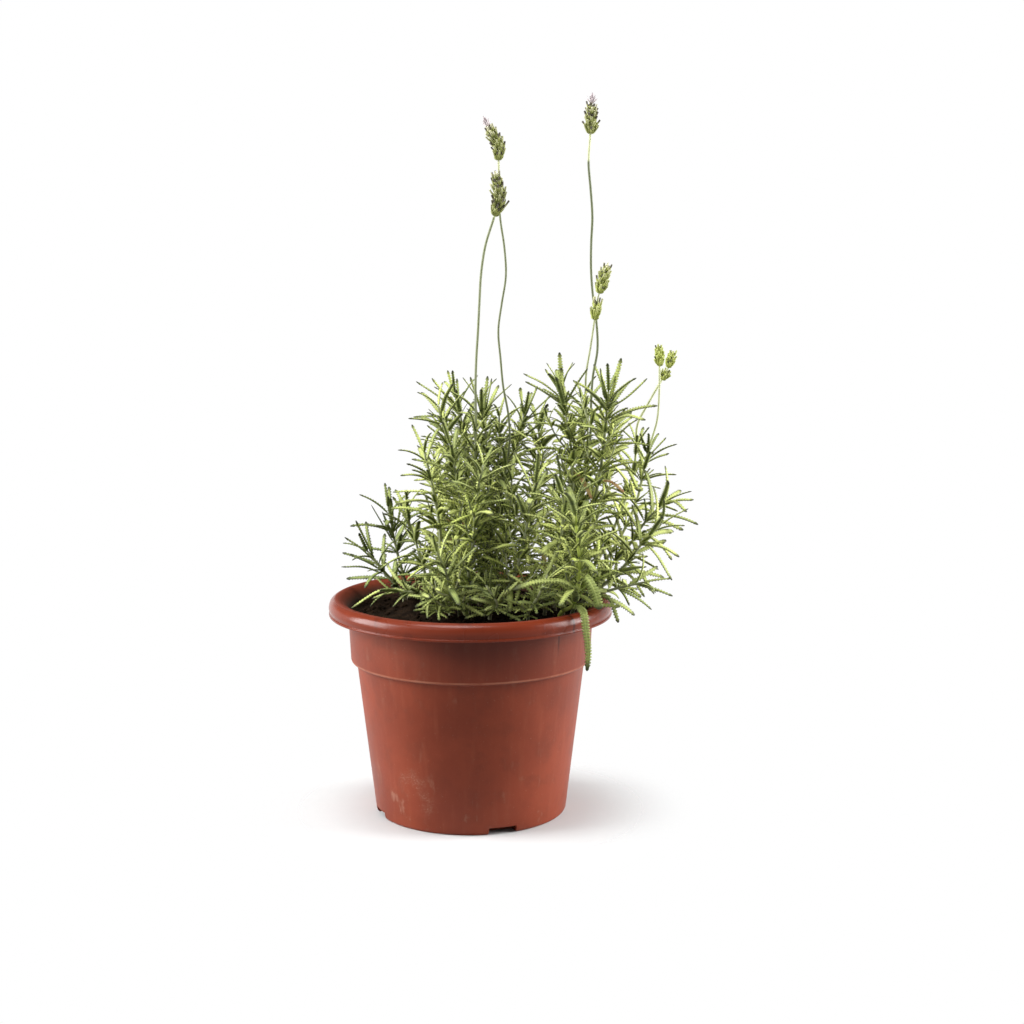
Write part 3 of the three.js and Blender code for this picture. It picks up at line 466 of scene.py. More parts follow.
def leaf_samples(spine, length, width):
    """Points over a leaf, and which of them are near its root."""
    steps = math.ceil(length / SAMPLE_STEP)
    pairs = [(i / steps, k) for i in range(2, steps + 1) for k in ([0] if i / steps > 0.97 else [-1, 0, 1])]
    s, k = np.array(pairs).T
    position, direction, normal = spine(s)
    side = np.cross(direction, normal)
    offset = (width / 2) * leaf_outline(s) * 0.62 * k
    return position + side * offset[:, None], s < 0.35


def arc_spine(root, direction, normal, length, bend):
    """A leaf's spine that leaves the stem along direction and bends back, away from its upper face."""

    def spine(s):
        angle = bend * np.asarray(s, float)[:, None]
        sine, cosine = np.sin(angle), np.cos(angle)
        position = root + direction * (length / bend) * sine - normal * (length / bend) * (1 - cosine)
        return position, direction * cosine - normal * sine, normal * cosine + direction * sine

    return spine


def curve_spine(points, facing):
    """A leaf's spine through a few points, whose upper face turns from upwards to a facing at its tip."""
    route = smooth(points)
    turn = np.array(facing) - UP

    def spine(s):
        places = [route.place(t * route.length) for t in s]
        position = np.array([p for p, _ in places])
        direction = np.array([d for _, d in places])
        normal = UP + turn * np.asarray(s, float)[:, None]
        normal -= direction * (normal * direction).sum(1)[:, None]
        return position, direction, normal / np.linalg.norm(normal, axis=1)[:, None]

    return spine, route.length


def leaf_frame(direction, aim, tilt, lift):
    """The heading and upper face of a leaf that leaves its stem towards aim, lifted a little."""
    heading = unit(turned(direction, aim, tilt) + UP * lift)
    normal = direction + UP * 0.3
    return heading, unit(normal - heading * (normal @ heading))


# Ways to bend a leaf clear of its neighbours, in degrees: a turn about the stem and a change of lean
BENDS = [(0, 0), (16, 0), (-16, 0), (0, -14), (30, -6), (-30, -6), (0, 14), (44, -12), (-44, -12), (22, 16),
         (-22, 16)]
SMALL_BENDS = [(0, 0), (25, 0), (-25, 0), (0, 15), (50, 5), (-50, 5), (0, -12)]


class Leaf:
    """A placed leaf: its spine and size, how old it is, and how far it has dried."""

    def __init__(self, spine, length, width, seed, age, dry=0.0):
        self.spine, self.length, self.width = spine, length, width
        self.seed, self.age, self.dry = seed, age, dry


def place_leaf(stem, k, side, added=False):
    """One leaf of a pair, bent clear of other pieces, or nothing where no bend clears them."""
    seed = (stem.index, k, side)
    distance = stem.leafy_to - whorl_depth(k)
    position, direction = stem.route.place(distance)
    a, b = sides(direction)
    length = LEAF_LENGTH * stem.size * whorl_size(k) * vary(0.86, 1.14, *seed, 1)
    width = length * LEAF_SLIMNESS * vary(0.9, 1.1, *seed, 2)
    bend = math.radians(vary(12, 52, *seed, 5))
    reach, clearance = (FILL_REACH, FILL_CLEARANCE) if added else (LEAF_REACH, CLEARANCE)
    for shrink in (1, 0.78, 0.6) if added else (1, 0.78):
        for turn, lean in BENDS:
            if added:
                turn += vary(-40, 40, *seed, 6)
                lean += vary(-26, 20, *seed, 7)
            angle = math.radians(stem.bearing(k, side) + vary(-14, 14, *seed, 3) + turn)
            tilt = whorl_lean(k) + math.radians(vary(-9, 9, *seed, 4) + lean)
            outward = turned(a, b, angle)
            heading, normal = leaf_frame(direction, outward, tilt, LIFT * math.sin(tilt))
            root = position - outward * LEAF_ROOT * stem.radius(distance)
            spine = arc_spine(root, heading, normal, length * shrink, bend)
            wide = width * mix(1, shrink, 0.5)
            samples, roots = leaf_samples(spine, length * shrink, wide)
            if claim(stem, samples, roots, reach, 0.4, clearance, boxed=added):
                return Leaf(spine, length * shrink, wide, seed, min(1, stem.from_tip(k) / 110))
    return None


def place_small_leaf(stem, position, direction, outward, length, tilt, keys, age):
    """A small leaf of a side shoot or an axil, bent clear of what stands there already."""
    across = np.cross(direction, outward)
    for shrink in (1, 0.75, 0.55):
        for turn, lean in SMALL_BENDS:
            aim = turned(outward, across, math.radians(turn + vary(-16, 16, *keys, 61)))
            angle = math.radians(tilt + lean + vary(-8, 8, *keys, 62))
            heading, normal = leaf_frame(direction, aim, angle, 0.12)
            size = length * shrink
            spine = arc_spine(position, heading, normal, size, math.radians(vary(8, 55, *keys, 63)))
            width = min(4.8, size * vary(0.2, 0.29, *keys, 64))
            samples, roots = leaf_samples(spine, size, width)
            if claim(stem, samples, roots, TWIG_REACH, 0.5, 0.05, 1.1):
                return Leaf(spine, size, width, keys, age)
    return None


def place_shoot(stem, k, side, length):
    """A side shoot that curves up from between a leaf and the stem: its line and its leaves."""
    seed = (stem.index, k, side)
    position, direction = stem.route.place(stem.leafy_to - whorl_depth(k))
    a, b = sides(direction)
    for turn in (0, 30, -30, 60, -60):
        outward = turned(a, b, math.radians(stem.bearing(k, side) + turn + vary(-18, 18, *seed, 71)))
        tilt = math.radians(vary(34, 58, *seed, 72))
        heading = unit(turned(direction, outward, tilt) + UP * 0.25)
        middle = position + heading * length * 0.5
        end = middle + unit(heading + UP * 0.55) * length * 0.5
        line = smooth([position, middle, end], 6)
        samples = np.array([line.place(d)[0] for d in np.arange(4, line.length, 2)])
        if not claim(stem, samples, True, TWIG_REACH, 0, 0.3, 1.5):
            continue
        leaves = []
        depth = 0.6
        pair = 0
        while depth < line.length - 4:
            place, ahead = line.place(line.length - depth)
            c, d = sides(ahead)
            size = (8 + 3.2 * min(pair, 3)) * stem.size
            tilt = min(18 + 14 * pair, 62)
            for half in (0, 1):
                aim = turned(c, d, math.radians(pair * 90 + half * 180 + 40 * draw(*seed, 73)))
                keys = (*seed, 80 + pair, half)
                leaves.append(place_small_leaf(stem, place, ahead, aim, size, tilt, keys, 0.4 + 0.1 * pair))
            depth += 3.6 + 0.9 * pair
            pair += 1
        return line, [leaf for leaf in leaves if leaf]
    return None


def axillary_leaves(stem, k, side):
    """Two or three small leaves between a leaf and the stem."""
    position, direction = stem.route.place(stem.leafy_to - whorl_depth(k) + 0.8)
    a, b = sides(direction)
    angle = math.radians(stem.bearing(k, side))
    age = 0.15 + 0.45 * min(1, stem.from_tip(k) / 60)
    made = []
    for n, aside in enumerate((-38, 38, 0)):
        outward = turned(a, b, angle + math.radians(aside))
        length = vary(9, 19, stem.index, k, side, 50 + n) * stem.size
        keys = (stem.index, k, side, 40 + n)
        made.append(place_small_leaf(stem, position, direction, outward, length, 26 + 6 * n, keys, age))
    return made


def add_curved_leaf(stem, points, facing, width, reach, seed, age, dry=0.0):
    """A leaf whose curve is given."""
    spine, length = curve_spine(points, facing)
    samples, roots = leaf_samples(spine, length, width)
    occupied.add(samples, reach, stem.index, roots)
    stem.leaves.append(Leaf(spine, length, width, seed, age, dry))


def grow():
    """Places all leaves and side shoots: the model's own leaves first, then those that fill in."""
    for stem in STEMS:
        for distance in np.arange(0, stem.route.length, SAMPLE_STEP):
            occupied.add(stem.route.place(distance)[0][None], stem.radius(distance), stem.index, True)
    for stem in FLOWERING:
        for distance in np.arange(0, stem.line.length, 3):
            occupied.add(stem.line.place(distance)[0][None], stem.width / 2 + 0.5, stem.index, True)
    stem = BY_KEY["front"]
    for i, (start, curve, facing, width) in enumerate(LARGE_LEAVES):
        points = [stem.route.at_height(start)] + curve
        add_curved_leaf(stem, points, facing, width, LEAF_REACH, (LARGE_SEED, i), 0.35)
    for k in range(1 + max(max(stem.whorls) for stem in STEMS)):
        for stem in STEMS:
            if k in stem.whorls:
                stem.leaves += [place_leaf(stem, k, side) for side in (0, 1)]
    shown = [(BY_KEY[key], *row) for key, rows in SHOWN_LEAVES for row in rows]
    for i, (stem, start, tip, rise, width, *dry) in enumerate(shown):
        root = stem.route.at_height(start)
        middle = (root + tip) / 2 + UP * rise
        seed = (SHOWN_SEED, i)
        age = vary(0.05, 0.45, *seed)
        points = [root, middle, tip]
        add_curved_leaf(stem, points, (0, -0.35, 0.9), width, FILL_REACH, seed, age, *dry)
    for k in range(MOST_WHORLS):
        for stem in STEMS:
            if k not in stem.whorls and k <= stem.deepest:
                stem.leaves += [place_leaf(stem, k, side, True) for side in (0, 1)]
    for k in range(SHOOTS_FROM, MOST_WHORLS):
        for stem in STEMS:
            if k <= stem.deepest and (k + stem.index) % 2 == 0 and stem.key not in AIRY_STEMS:
                for side in (0, 1):
                    length = vary(16, 34, stem.index, k, side, 74) * stem.size
                    stem.shoots.append(place_shoot(stem, k, side, length))
    for k in range(AXILS_FROM, MOST_WHORLS):
        for stem in STEMS:
            if k <= stem.deepest and (k % 2 or stem.key not in AIRY_STEMS):
                for side in (0, 1):
                    stem.leaves += axillary_leaves(stem, k, side)
    for stem in STEMS:
        stem.leaves = [leaf for leaf in stem.leaves if leaf]
        stem.shoots = [shoot for shoot in stem.shoots if shoot]
        for leaf in stem.leaves:
            grown = leaf.age > DRYING_AGE and leaf.seed[0] < LARGE_SEED
            if grown and draw(*leaf.seed, 99) < DRYING_SHARE:
                leaf.dry = vary(0.55, 1, *leaf.seed, 98)


class Skin:
    """The points, faces and values of one piece, gathered from its parts. Each point has two triples: blade
    is its place across and along its part and how far up it faces, lowered towards a leaf's notches as
    painted shade, and growth is the part's tone, age and dryness."""

    def __init__(self):
        self.points, self.blade, self.growth = [], [], []
        self.faces, self.looks = [], []
        self.count = 0

    def loft(self, rings, blade, growth, look=0):
        """A closed surface through rings of equally many points, capped at both ends."""
        n, m = rings.shape[:2]
        first = self.count
        self.points.append(rings.reshape(-1, 3))
        self.blade.append(blade.reshape(-1, 3))
        self.growth.append(np.broadcast_to(growth, (n, m, 3)).reshape(-1, 3))
        self.count += n * m
        i = np.arange(n - 1)[:, None] * m
        j = np.arange(m)[None]
        after = (j + 1) % m
        quads = np.stack([i + j, i + after, i + m + after, i + m + j], 2).reshape(-1, 4) + first
        self.faces += quads.tolist()
        self.faces.append([first + m - 1 - k for k in range(m)])
        self.faces.append([self.count - m + k for k in range(m)])
        self.looks += [look] * (len(quads) + 2)

    def piece(self, name, slot, replaced, materials):
        mesh = bpy.data.meshes.new(name)
        mesh.from_pydata((np.concatenate(self.points) * MM).tolist(), [], self.faces)
        for material in materials:
            mesh.materials.append(material)
        mesh.polygons.foreach_set("material_index", self.looks)
        mesh.polygons.foreach_set("use_smooth", [True] * len(self.faces))
        for key, values in (("blade", self.blade), ("growth", self.growth)):
            attribute = mesh.attributes.new(key, "FLOAT_VECTOR", "POINT")
            attribute.data.foreach_set("vector", np.concatenate(values).astype(np.float32).ravel())
        mesh.update()
        add_piece(name, mesh, replaced)


def add_piece(name, mesh, replaced):
    piece = bpy.data.objects.new(name, mesh)
    bpy.context.collection.objects.link(piece)
    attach(piece, "root")
    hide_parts(replaced)
    return piece


def triples(*parts):
    """Three values for each point of a line."""
    return np.stack(np.broadcast_arrays(*parts), 1)


def blade_outline(s):
    """The half width of a finished leaf: a narrow foot, nearly parallel edges and a blunt tip."""
    foot = np.clip((s - 0.02) / 0.2, 0, 1) ** 0.8
    taper = 1 - 0.32 * np.clip((s - 0.55) / 0.45, 0, 1)
    tip = np.sqrt(np.clip(1 - (np.clip(s - 0.9, 0, 1) / 0.1) ** 2, 0, 1))
    return foot * taper * tip


# The section of a leaf as shares of its half width, from the middle of its upper face clockwise: the
# place across it, and the height at a tooth and at a notch. Each tooth swells beside the sunken midrib
# and rolls under at the edge, and the midrib stands out below.
LARGE_SECTION = [(0, 0.02, 0.02), (0.55, 0.32, 0.06), (1, -0.16, -0.08), (0.62, -0.36, -0.2),
                 (0, -0.4, -0.4), (-0.62, -0.36, -0.2), (-1, -0.16, -0.08), (-0.55, 0.32, 0.06)]
FINE_SECTION = [(0, 0.02, 0.02), (0.55, 0.32, 0.06), (1, -0.16, -0.08), (0, -0.4, -0.34),
                (-1, -0.16, -0.08), (-0.55, 0.32, 0.06)]
SMALL_SECTION = [(0, 0.16, 0.08), (1, -0.14, -0.06), (0, -0.36, -0.3), (-1, -0.14, -0.06)]

# The rings of one tooth, of a large leaf and of the others: the place along it and the share of the width
LARGE_TOOTH = [(0, 1 - TOOTH_DEPTH), (0.3, 1), (0.72, 0.96)]
FINE_TOOTH = [(0, 1 - TOOTH_DEPTH), (0.5, 1)]

# How light the upper face stays in the notches, which lie in the shade of the teeth, and how far the
# edges of a large leaf lie ahead of its midrib, as a share of its half width
NOTCH_LIGHT = 0.1
SLANT = 0.5


def add_leaf(skin, leaf, section=SMALL_SECTION, shade=0.0):
    """A leaf blade with a comb of rounded teeth along both edges."""
    teeth = max(4, round(leaf.length * TOOTHED_SHARE / TOOTH_PITCH))
    pitch = (TOOTHED_TO - TOOTHED_FROM) / teeth
    tooth = LARGE_TOOTH if section is LARGE_SECTION else FINE_TOOTH
    rows = [(0, 1), (0.06, 1)]
    rows += [(TOOTHED_FROM + pitch * (i + at), wide) for i in range(teeth) for at, wide in tooth]
    rows += [(TOOTHED_TO, 0.8), (0.985, 1), (1, 1)]
    s, share = np.array(rows, float).T
    jitter = 1 + 0.09 * (np.array([draw(*leaf.seed, 200 + i) for i in range(len(s))]) - 0.5)
    half = np.maximum(leaf.width / 2 * blade_outline(s), mix(0.42, 0.12, s))
    edge = half * share * jitter
    position, direction, normal = leaf.spine(s)
    side = np.cross(direction, normal)
    most = 0 if leaf.seed[0] == LARGE_SEED else 0.35
    twist = (vary(-most, most, *leaf.seed, 300) * s)[:, None]
    sine, cosine = np.sin(twist), np.cos(twist)
    side, normal = side * cosine + normal * sine, normal * cosine - side * sine
    thick = np.maximum(half, 0.5)
    swell = np.clip((share - (1 - TOOTH_DEPTH)) / TOOTH_DEPTH, 0, 1)
    light = NOTCH_LIGHT + (1 - NOTCH_LIGHT) * swell
    ahead = direction * (SLANT * half * (1 - s) * (section is LARGE_SECTION))[:, None]
    rings, blade = [], []
    for x, at_tooth, at_notch in section:
        over = edge if abs(x) == 1 else np.minimum(half, edge * 1.3)
        rise = thick * mix(at_notch, at_tooth, swell)
        place = position + side * (over * x)[:, None] + normal * rise[:, None] + ahead * abs(x)
        rings.append(np.clip(place, BOX_LOW, BOX_HIGH))
        # The third value falls to 0 on the underside and towards the notches, where the leaf material
        # paints shade
        blade.append(triples(float(x), s, 0.0 if at_tooth < -0.2 else mix(1, light, abs(x))))
    tone = np.clip(draw(*leaf.seed, 301) + shade, 0, 1)
    growth = np.array((tone, leaf.age * (1 + min(shade, 0)), leaf.dry))
    skin.loft(np.stack(rings, 1), np.stack(blade, 1), growth)


def add_stem(skin, route, radius, turn, growth_at, step=4.0):
    """A stem of square section with rounded corners and shallow grooves between them."""
    distances = np.arange(0, route.length, step)
    if route.length - distances[-1] < 1:
        distances = distances[:-1]
    distances = np.append(distances, route.length)
    rings, blade, growth = np.zeros((3, len(distances), STEM_CORNERS, 3))
    for i, distance in enumerate(distances):
        before, _ = route.place(max(0, distance - 2))
        after, _ = route.place(min(route.length, distance + 2))
        position, _ = route.place(distance)
        a, b = sides(unit(after - before))
        for j in range(STEM_CORNERS):
            angle = math.radians(turn + 45 + j * 360 / STEM_CORNERS)
            rings[i, j] = position + turned(a, b, angle) * radius(distance) * (0.8 if j % 2 else 1)
            blade[i, j] = (1 - j % 2, distance, 1)
        growth[i] = growth_at(distance)
    skin.loft(rings, blade, growth, 1)


def build_stems(materials):
    for stem in STEMS:
        skin = Skin()
        line = smooth(stem.route.points, 8)
        scale = line.length / stem.route.length
        fresh = float(stem.key == "front")
        shade = SHADES.get(stem.key, 0)
        _, pale, pale_end = RIPENING.get(stem.key, (0, vary(0.18, 0.5, stem.index, 5), 0))

        def radius(distance):
            swell = 0
            for k in range(stem.deepest + 1):
                gap = abs(distance / scale - (stem.leafy_to - whorl_depth(k)))
                swell = max(swell, 0.16 * max(0, 1 - gap / 1.6))
            return stem.radius(distance / scale) * (1.1 if fresh else 0.9) * (1 + swell)

        def growth_at(distance):
            share = distance / scale / stem.leafy_to
            tone = 0.95 if line.length - distance < pale_end else pale
            return tone, float(np.clip(1 - share, 0, 1)) * (1 - 0.4 * fresh), fresh

        add_stem(skin, line, radius, stem.turn, growth_at, 2.8)
        for leaf in stem.leaves:
            section = FINE_SECTION if leaf.length > SHORT_LEAF else SMALL_SECTION
            if leaf.seed[0] in (LARGE_SEED, SHOWN_SEED):
                section = LARGE_SECTION
            add_leaf(skin, leaf, section, shade)
        for shoot, leaves in stem.shoots:
            add_stem(skin, shoot, lambda d: mix(0.8, 0.5, d / shoot.length), stem.turn,
                     lambda d: (draw(stem.index, 6), 0.3, 0.0))
            for leaf in leaves:
                add_leaf(skin, leaf, shade=shade)
        skin.piece(stem.name + "_grown", "stalks" if stem.tip else "foliage", stem.name, materials)


# The length of a calyx is split at these shares, with its radius as a share of its widest
CALYX = [(0, 0.3), (0.12, 0.62), (0.32, 0.95), (0.55, 1), (0.75, 0.86), (0.88, 0.8), (0.97, 0.9), (1, 0.72)]
CALYX_SIDES = 8

# A bract and a petal: their half widths along them as shares of the widest, and their sections
BRACT_ROWS = [(0, 0.3), (0.15, 0.75), (0.35, 1), (0.55, 0.92), (0.75, 0.6), (0.9, 0.25), (1, 0.05)]
BRACT_SECTION = [(-0.6, -0.02), (-1, 0.3), (-0.55, 0.16), (0, 0.1), (0.55, 0.16), (1, 0.3), (0.6, -0.02),
                 (0, -0.1)]
PETAL_WIDTHS = [0.28, 0.42, 0.6, 0.8, 0.96, 1, 0.9, 0.62, 0.15]
PETAL_SECTION = [(0, 0.02), (0.55, 0.1), (1, 0.22), (0.5, 0.0), (0, -0.09), (-0.5, 0.0), (-1, 0.22),
                 (-0.55, 0.1)]


def head_swell(share):
    """How wide a head of buds is along its length: widest in its lower third and slim at its tip."""
    if share < 0.32:
        return math.sqrt(1 - ((0.32 - share) / 0.5) ** 2)
    return mix(1, 0.5, ((share - 0.32) / 0.68) ** 1.3)


def add_calyx(skin, root, tip, away, radius, seed, ripe, high):
    """A ribbed bud that rises from the spike's axis and leans out to its tip."""
    span = tip - root
    middle = root + span * 0.5 + away * math.sqrt(span @ span) * 0.1
    line = smooth([root, middle, tip], 8)
    rings, blade = np.zeros((2, len(CALYX), CALYX_SIDES, 3))
    for i, (share, wide) in enumerate(CALYX):
        position, direction = line.place(share * line.length)
        a, b = sides(direction)
        for j in range(CALYX_SIDES):
            outward = turned(a, b, 2 * math.pi * j / CALYX_SIDES)
            rings[i, j] = position + outward * radius * wide * (1 if j % 2 else 0.86)
            if share > 0.95:
                rings[i, j] += direction * vary(0.55, 1.1, *seed, j) * 0.5
            blade[i, j] = (j % 2, share, 1)
    skin.loft(rings, blade, np.array([draw(*seed, 31), ripe, high]))


def add_petal(skin, spine, s, wide, section, wave, growth):
    """A thin closed blade with a wave along both edges."""
    position, direction, up = spine(s)
    side = np.cross(direction, up)
    along = s * (0.45 if section is BRACT_SECTION else 1)
    rings, blade = [], []
    for x, z in section:
        rise = wide * (z + wave * (abs(x) == 1))
        rings.append(position + side * (wide * x)[:, None] + up * rise[:, None])
        blade.append(triples(float(x), along, 1.0))
    skin.loft(np.stack(rings, 1), np.stack(blade, 1), np.array(growth))


def build_spike(stem, materials):
    """A spike: its axis, and whorls of buds with a pair or two of bracts below each."""
    skin = Skin()
    line = stem.line
    ripe, pale, _ = RIPENING[stem.key]
    s, bract = np.array(BRACT_ROWS, float).T
    back = smooth([stem.route.place(stem.route.length - 3)[0], *line.points[[0, 10, 20]]])
    add_stem(skin, back, lambda d: PEDUNCLE_RADIUS * mix(0.9, 0.45, d / back.length), stem.turn,
             lambda d: (max(pale, 0.6), 0.2, 0.0), 1.5)
    for h, (start, end, whorls, share) in enumerate(stem.heads):
        width = stem.width * share
        low, high = start * line.length, end * line.length
        step = (high - low) / (whorls + 1)
        seed = stem.index * 10 + h

        def place(level, angle, radius):
            distance = low + step * (level + 1)
            position, direction = line.place(min(distance, line.length))
            a, b = sides(direction)
            past = max(0, distance - line.length)
            outward = turned(a, b, math.radians(angle))
            return position + outward * radius + direction * past, outward, direction

        for level in range(whorls):
            high = (level + 1) / (whorls + 1)
            swell = head_swell(high)
            for k in range(BUDS_ROUND):
                keys = (seed, level, k)
                angle = k * 360 / BUDS_ROUND + level * 180 / BUDS_ROUND + vary(-9, 9, *keys, 11)
                reach = (width / 2) * swell * vary(0.8, 1.08, *keys, 12)
                top = level + vary(-0.16, 0.2, *keys, 13)
                for around, height, out, thick, number, ripened in (
                    (angle, top + vary(0.8, 1.3, *keys, 17), reach - 0.5, vary(0.8, 1.1, *keys, 14), k, 1),
                    (angle + 180 / BUDS_ROUND, top + 0.6, reach * 0.55, vary(0.8, 1.05, *keys, 15),
                     k + 40, 0.7),
                ):
                    root, outward, _ = place(top - 0.6, around, width * 0.05)
                    tip, _, _ = place(height, around, out)
                    add_calyx(skin, root, tip, outward, thick * mix(1, swell, 0.5), (seed, level, number),
                              ripe * ripened, high)
            for half in range(2 if level % 2 else 4):
                angle = level * 90 + half * 180 + (half > 1) * 90 + 20 * draw(seed, level, half, 16)
                root, outward, direction = place(level - 0.8, angle, width * 0.08)
                heading = turned(direction, outward, math.radians(44 if level else 34))
                normal = unit(outward - heading * (outward @ heading))
                size = width * mix(1, swell, 0.7)
                spine = arc_spine(root, heading, normal, size * 0.5, 0.7)
                growth = (draw(seed, level, half + 60, 32), ripe, 0.0)
                add_petal(skin, spine, s, bract * size * 0.46 / 2, BRACT_SECTION, 0, growth)
    name = stem.name.replace("stem", "spike")
    skin.piece(name + "_buds", "flower_buds", name, materials)


def build_tuft(stem, materials):
    """The few open lilac florets at a spike's tip: two petals that stand up and ten that spread."""
    skin = Skin()
    position, direction = stem.line.place(stem.line.length)
    root = position + direction * (TUFT_GAP - 1.6)
    a, b = sides(direction)
    petals = [(root, unit(direction), a, 8.6, 2.2, 0.15, (1,)),
              (root, unit(direction), b, 7.4, 2.0, -0.2, (2,))]
    for k in range(SPREAD_PETALS):
        keys = (stem.index, k)
        angle = math.radians(k * 360 / SPREAD_PETALS + 20 * draw(*keys, 21))
        lean = math.radians(vary(24, 70, *keys, 22))
        outward = turned(a, b, angle)
        heading = turned(direction, outward, lean)
        normal = unit(-outward + heading * (outward @ heading))
        length, width = vary(4.4, 7, *keys, 23), vary(1.5, 2.3, *keys, 25)
        bend = -vary(0.2, 1.0, *keys, 24)
        petals.append((root + direction * 0.8, heading, normal, length, width, bend, (k, 26)))
    s = np.linspace(0, 1, len(PETAL_WIDTHS))
    for foot, heading, normal, length, width, bend, seed in petals:
        wave = 0.12 * np.sin(s * 9 + 6 * draw(stem.index, *seed, 33))
        spine = arc_spine(foot, heading, normal, length, bend)
        growth = (draw(stem.index, *seed, 34), 0.2, 0.0)
        add_petal(skin, spine, s, np.array(PETAL_WIDTHS) * width / 2, PETAL_SECTION, wave, growth)
    name = stem.name.replace("stem", "tuft")
    skin.piece(name + "_florets", "open_florets", name, materials)


def rounded(points):
    """A closed outline of (radius, height, fillet) with each corner rounded by its fillet."""
    made = []
    spots = [np.array(point[:2], float) for point in points]
    for i, (here, (_, _, fillet)) in enumerate(zip(spots, points)):
        if not fillet:
            made.append(here)
            continue
        ends = []
        for other in (spots[i - 1], spots[(i + 1) % len(spots)]):
            gap = math.dist(here, other)
            ends.append(here + (other - here) / gap * min(fillet, 0.45 * gap))
        for t in np.linspace(0, 1, 6):
            made.append((1 - t) ** 2 * ends[0] + 2 * t * (1 - t) * here + t * t * ends[1])
    return made


def pot_profile():
    """The outline of the pot's wall, from the middle of its underside round to the middle of its floor."""
    lip = RIM_RADIUS - WALL
    made = rounded([
        (0, 0, 0), (BASE_RADIUS - 1.4, 0, 0.8), (BASE_RADIUS, 1.5, 1.2),
        (LEDGE_RADIUS, LEDGE_HEIGHT - 0.8, 0.9), (COLLAR_RADIUS - 1.2, LEDGE_HEIGHT, 1.4),
        (COLLAR_RADIUS + 0.8, POT_HEIGHT - 6.6, 2.2),
        (COLLAR_RADIUS + 3.9, POT_HEIGHT - 3, 2), (lip - 2.2, POT_HEIGHT - 3.4, 2.2),
        (lip - 0.4, POT_HEIGHT - 11.6, 0.5), (RIM_RADIUS - 0.4, POT_HEIGHT - 12, 0.6),
        (RIM_RADIUS - 0.3, POT_HEIGHT - 10.5, 0.5), (RIM_RADIUS - 1.1, POT_HEIGHT - 10.1, 0.4),
        (RIM_RADIUS, POT_HEIGHT - 6.8, 3.5), (RIM_RADIUS - 1.2, POT_HEIGHT - 2.4, 3),
        (RIM_RADIUS - 4.6, POT_HEIGHT, 3), (RIM_RADIUS - 8.4, POT_HEIGHT - 0.4, 2.5),
        (COLLAR_RADIUS + 2.4, POT_HEIGHT - 3.4, 2.5), (COLLAR_RADIUS - 1.2, POT_HEIGHT - 7.8, 2.5),
        (COLLAR_RADIUS - WALL - 0.8, LEDGE_HEIGHT + 2.4, 1), (LEDGE_RADIUS - WALL, LEDGE_HEIGHT + 0.4, 1),
        (BASE_RADIUS - WALL + 0.2, FLOOR + 1.8, 1.5), (BASE_RADIUS - WALL - 1.6, FLOOR, 1.2), (0, FLOOR, 0),
    ])
    profile = [made[0]]
    for here in made[1:]:
        start = profile[-1]
        parts = max(1, int(math.dist(start, here) / POT_STEP))
        profile += [start + (here - start) * (i + 1) / parts for i in range(parts)]
    return profile


def turned_shell(inner):
    """The points and faces of a shell turned about the axis, closed by a fan at each end."""
    bearings = [2 * math.pi * k / POT_SEGMENTS for k in range(POT_SEGMENTS)]
    points = [(0, 0, 0)]
    for r, z in inner:
        points += [(r * math.sin(angle) * MM, -r * math.cos(angle) * MM, z * MM) for angle in bearings]
    points.append((0, 0, FLOOR * MM))
    faces = []
    for k in range(POT_SEGMENTS):
        after = (k + 1) % POT_SEGMENTS
        faces.append((0, 1 + after, 1 + k))
        for low in range(1, 1 + (len(inner) - 1) * POT_SEGMENTS, POT_SEGMENTS):
            high = low + POT_SEGMENTS
            faces.append((low + k, low + after, high + after, high + k))
        top = 1 + (len(inner) - 1) * POT_SEGMENTS
        faces.append((len(points) - 1, top + k, top + after))
    return points, faces


def drain_cutter(i):
    """A block in the place of one drain cut-out."""
    angle = math.radians(DRAIN_FIRST_ANGLE - 90 + i * 360 / DRAIN_COUNT)
    out = np.array([math.cos(angle), math.sin(angle)])
    across = np.array([-out[1], out[0]])
    near, far = DRAIN_INNER_RADIUS, BASE_RADIUS + 5
    corners = []
    for z, share in ((-2, 1), (DRAIN_HEIGHT, 0.94)):
        for r, side in ((near, -1), (far, -1), (far, 1), (near, 1)):
            x, y = out * r + across * side * (DRAIN_WIDTH / 2 * share)
            corners.append((x * MM, y * MM, z * MM))
    block = bpy.data.meshes.new("drain_cut")
    faces = [(3, 2, 1, 0), (4, 5, 6, 7), (0, 1, 5, 4), (1, 2, 6, 5), (2, 3, 7, 6), (3, 0, 4, 7)]
    block.from_pydata(corners, [], faces)
    cutter = bpy.data.objects.new("drain_cut", block)
    bpy.context.collection.objects.link(cutter)
    return cutter


def build_pot(material):
    """One moulded shell with a rolled rim, a collar and a ledge, and drain cut-outs at its foot."""
    points, faces = turned_shell(pot_profile()[1:-1])
    mesh = bpy.data.meshes.new("pot_shell")
    mesh.from_pydata(points, [], faces)
    mesh.materials.append(material)
    mesh.update()
    pot = add_piece("pot_shell", mesh, "pot")
    cutters = [drain_cutter(i) for i in range(DRAIN_COUNT)]
    for cutter in cutters:
        modifier = pot.modifiers.new("drain", "BOOLEAN")
        modifier.operation = "DIFFERENCE"
        modifier.solver = "EXACT"
        modifier.object = cutter
    graph = bpy.context.evaluated_depsgraph_get()
    finished = bpy.data.meshes.new_from_object(pot.evaluated_get(graph))
    pot.modifiers.clear()
    pot.data = finished
    for cutter in cutters:
        bpy.data.objects.remove(cutter)
    finished.polygons.foreach_set("use_smooth", [True] * len(finished.polygons))
    finished.set_sharp_from_angle(angle=math.radians(CREASE))


